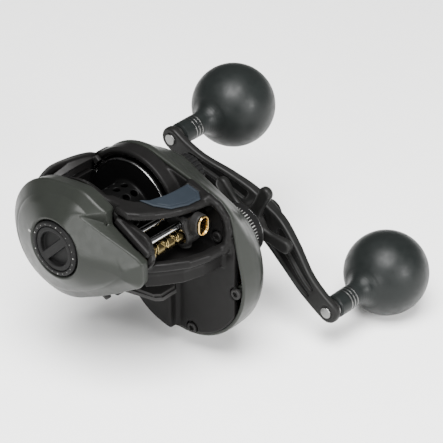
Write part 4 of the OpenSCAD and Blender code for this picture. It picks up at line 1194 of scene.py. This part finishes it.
def build_knob(sign, name, body, node, rings):
    """ball on a neck that has a groove for each of three bright rings"""
    lo, hi = corners(node)
    at = (CY + sign * ARM_LEN * math.cos(ARM_ANGLE), CZ + sign * ARM_LEN * math.sin(ARM_ANGLE))
    neck, start = 4.4, lo[0]
    join = math.sqrt(KNOB_R ** 2 - neck ** 2)
    profile = [(start, 2.1), (start, 3.6), (start + 0.5, neck), (start + 4.9, neck)]
    for k in range(3):
        x0 = start + 5.45 + 1.6 * k
        profile += [(x0, neck), (x0, neck - 0.35), (x0 + 0.6, neck - 0.35), (x0 + 0.6, neck)]
    profile += [(start + 10.2, neck + 0.02)]
    shoulder = KNOB_X - join
    for t in np.linspace(0, 1, 9):
        # blend from the neck into the ball
        a = math.pi - math.radians(16 + 16 * t)
        ball = (KNOB_X + KNOB_R * math.cos(a), KNOB_R * math.sin(a))
        edge = (start + 11.2 + (shoulder - start - 10.2) * t, neck + 0.15 * t)
        mix = t ** 0.8
        profile.append((edge[0] * (1 - mix) + ball[0] * mix, edge[1] * (1 - mix) + ball[1] * mix))
    for deg in np.linspace(34, 158, 60):
        a = math.pi - math.radians(deg)
        profile.append((KNOB_X + KNOB_R * math.cos(a), KNOB_R * math.sin(a)))
    profile += [(hi[0] - 0.9, 5.2), (hi[0] - 0.5, 4.9), (hi[0] - 0.75, 4.7), (hi[0] - 0.3, 4.4),
                (hi[0] - 0.05, 0.001)]
    knob = lathe(name, profile, at, 128, 0.12)
    knob.data.set_sharp_from_angle(angle=math.radians(60))
    fitted(knob, body, "knob_soft", [node])
    bright = []
    for k in range(3):
        x0 = start + 5.5 + 1.6 * k
        bright.append(lathe("ring", tube(x0, x0 + 0.5, neck + 0.05, neck - 0.4), at, 96, 0.1))
    fitted(joined(name + "_rings", bright), body, "steel", [rings])


def build_hardware():
    """CAD nodes that need only rounded edges: node, piece, rounding, body, slot, finish"""
    for node, name, width, body, slot, finish in (
            ("handle_nut", "handle_nut_hex", 0.3, "crank", "steel", None),
            ("nut_retainer", "nut_keeper", 0.2, "crank", "handle_black", None),
            ("knob_posts", "knob_post_pins", 0.25, "crank", "steel", None),
            ("brake_drum", "brake_drum_cup", 0.15, "spool", "bare_aluminium", None),
            ("worm_bushes", "worm_bush_rings", 0.15, "frame", "white_nylon", "black_plastic")):
        fitted(dressed(node, name, width), body, slot, [node], look_name=finish)


# ---- the CAD nodes that stay ---------------------------------------------

def dress_cad_nodes():
    """every CAD node left as it is takes the finish of its own slot"""
    for part in frame["record"]["subparts"]:
        wearing(frame["nodes"][part["node"]], part["material_slot"])


# ---- stage ---------------------------------------------------------------

def soft_light(name, place, target, size, power):
    """rectangle of soft white light; places and sizes in metres, power in watts"""
    data = bpy.data.lights.new(name, "AREA")
    data.shape = "RECTANGLE"
    data.size, data.size_y = size
    data.energy = power
    lamp = placed(name, data)
    lamp.location = place
    lamp.rotation_euler = (Vector(target) - Vector(place)).to_track_quat("-Z", "Y").to_euler()


def build_stage():
    """pale floor, even background light and three soft lights"""
    lo, hi = cad_bounds
    ground = lo[2] - 0.0005
    middle = (Vector(lo) + Vector(hi)) / 2
    rows = 24
    reach = 3.0
    mesh = bpy.data.meshes.new("floor")
    with editing(mesh) as sweep:
        for i in range(rows + 1):
            for j in range(rows + 1):
                spread = (2 * j / rows - 1) * reach
                run = (2 * i / rows - 1) * reach
                sweep.verts.new((middle.x + spread, middle.y + run, ground))
        sweep.verts.ensure_lookup_table()
        for i in range(rows):
            for j in range(rows):
                a = i * (rows + 1) + j
                sweep.faces.new([sweep.verts[k] for k in (a, a + 1, a + rows + 2, a + rows + 1)])
    floor = placed("floor", mesh)
    mesh.materials.append(look("pale_floor", (0.93, 0.93, 0.92), rough=0.8, mottle=0.005,
                               grain=0.0, specular=0.1))
    world = bpy.data.worlds.new("studio")
    world.use_nodes = True
    back = world.node_tree.nodes["Background"]
    back.inputs["Color"].default_value = (1, 1, 1, 1)
    back.inputs["Strength"].default_value = 0.12
    bpy.context.scene.world = world
    for name, place, size, power in (("front", (0.05, -1.05, 0.4), (0.42, 0.36), 19),
                                     ("side", (-1.0, -0.36, 0.22), (0.3, 0.3), 8.5),
                                     ("top", (-0.32, -0.28, 1.1), (0.8, 0.8), 57)):
        soft_light(name, place, middle, size, power)


def build_camera():
    """the photo's view: a long lens above the front left"""
    target = Vector((23.83, -29.55, 22.48)) * MM
    away = Vector((-0.641, -0.561, 0.523)).normalized()
    distance = 0.8094
    data = bpy.data.cameras.new("camera")
    data.lens = 182.0
    data.sensor_width = 36.0
    data.clip_start = 0.01
    camera = placed("camera", data)
    camera.location = target + away * distance
    camera.rotation_euler = (-away).to_track_quat("-Z", "Y").to_euler()
    bpy.context.scene.camera = camera


dress_cad_nodes()
for build in (build_frame, build_insert, build_foot, build_palm_plate, build_dial_ring,
              build_dial_ticks, build_dial_cap, build_latch, build_spool, build_cast_cap,
              build_thumb_bar, build_worm, build_rods, build_line_guide, build_gear_cover,
              build_screws, build_collar, build_star, build_arm):
    build()
build_knob(-1, "front_knob_grip", "front_knob", "knob_front", "knob_front_rings")
build_knob(1, "rear_knob_grip", "rear_knob", "knob_rear", "knob_rear_rings")
build_hardware()
build_stage()
build_camera()
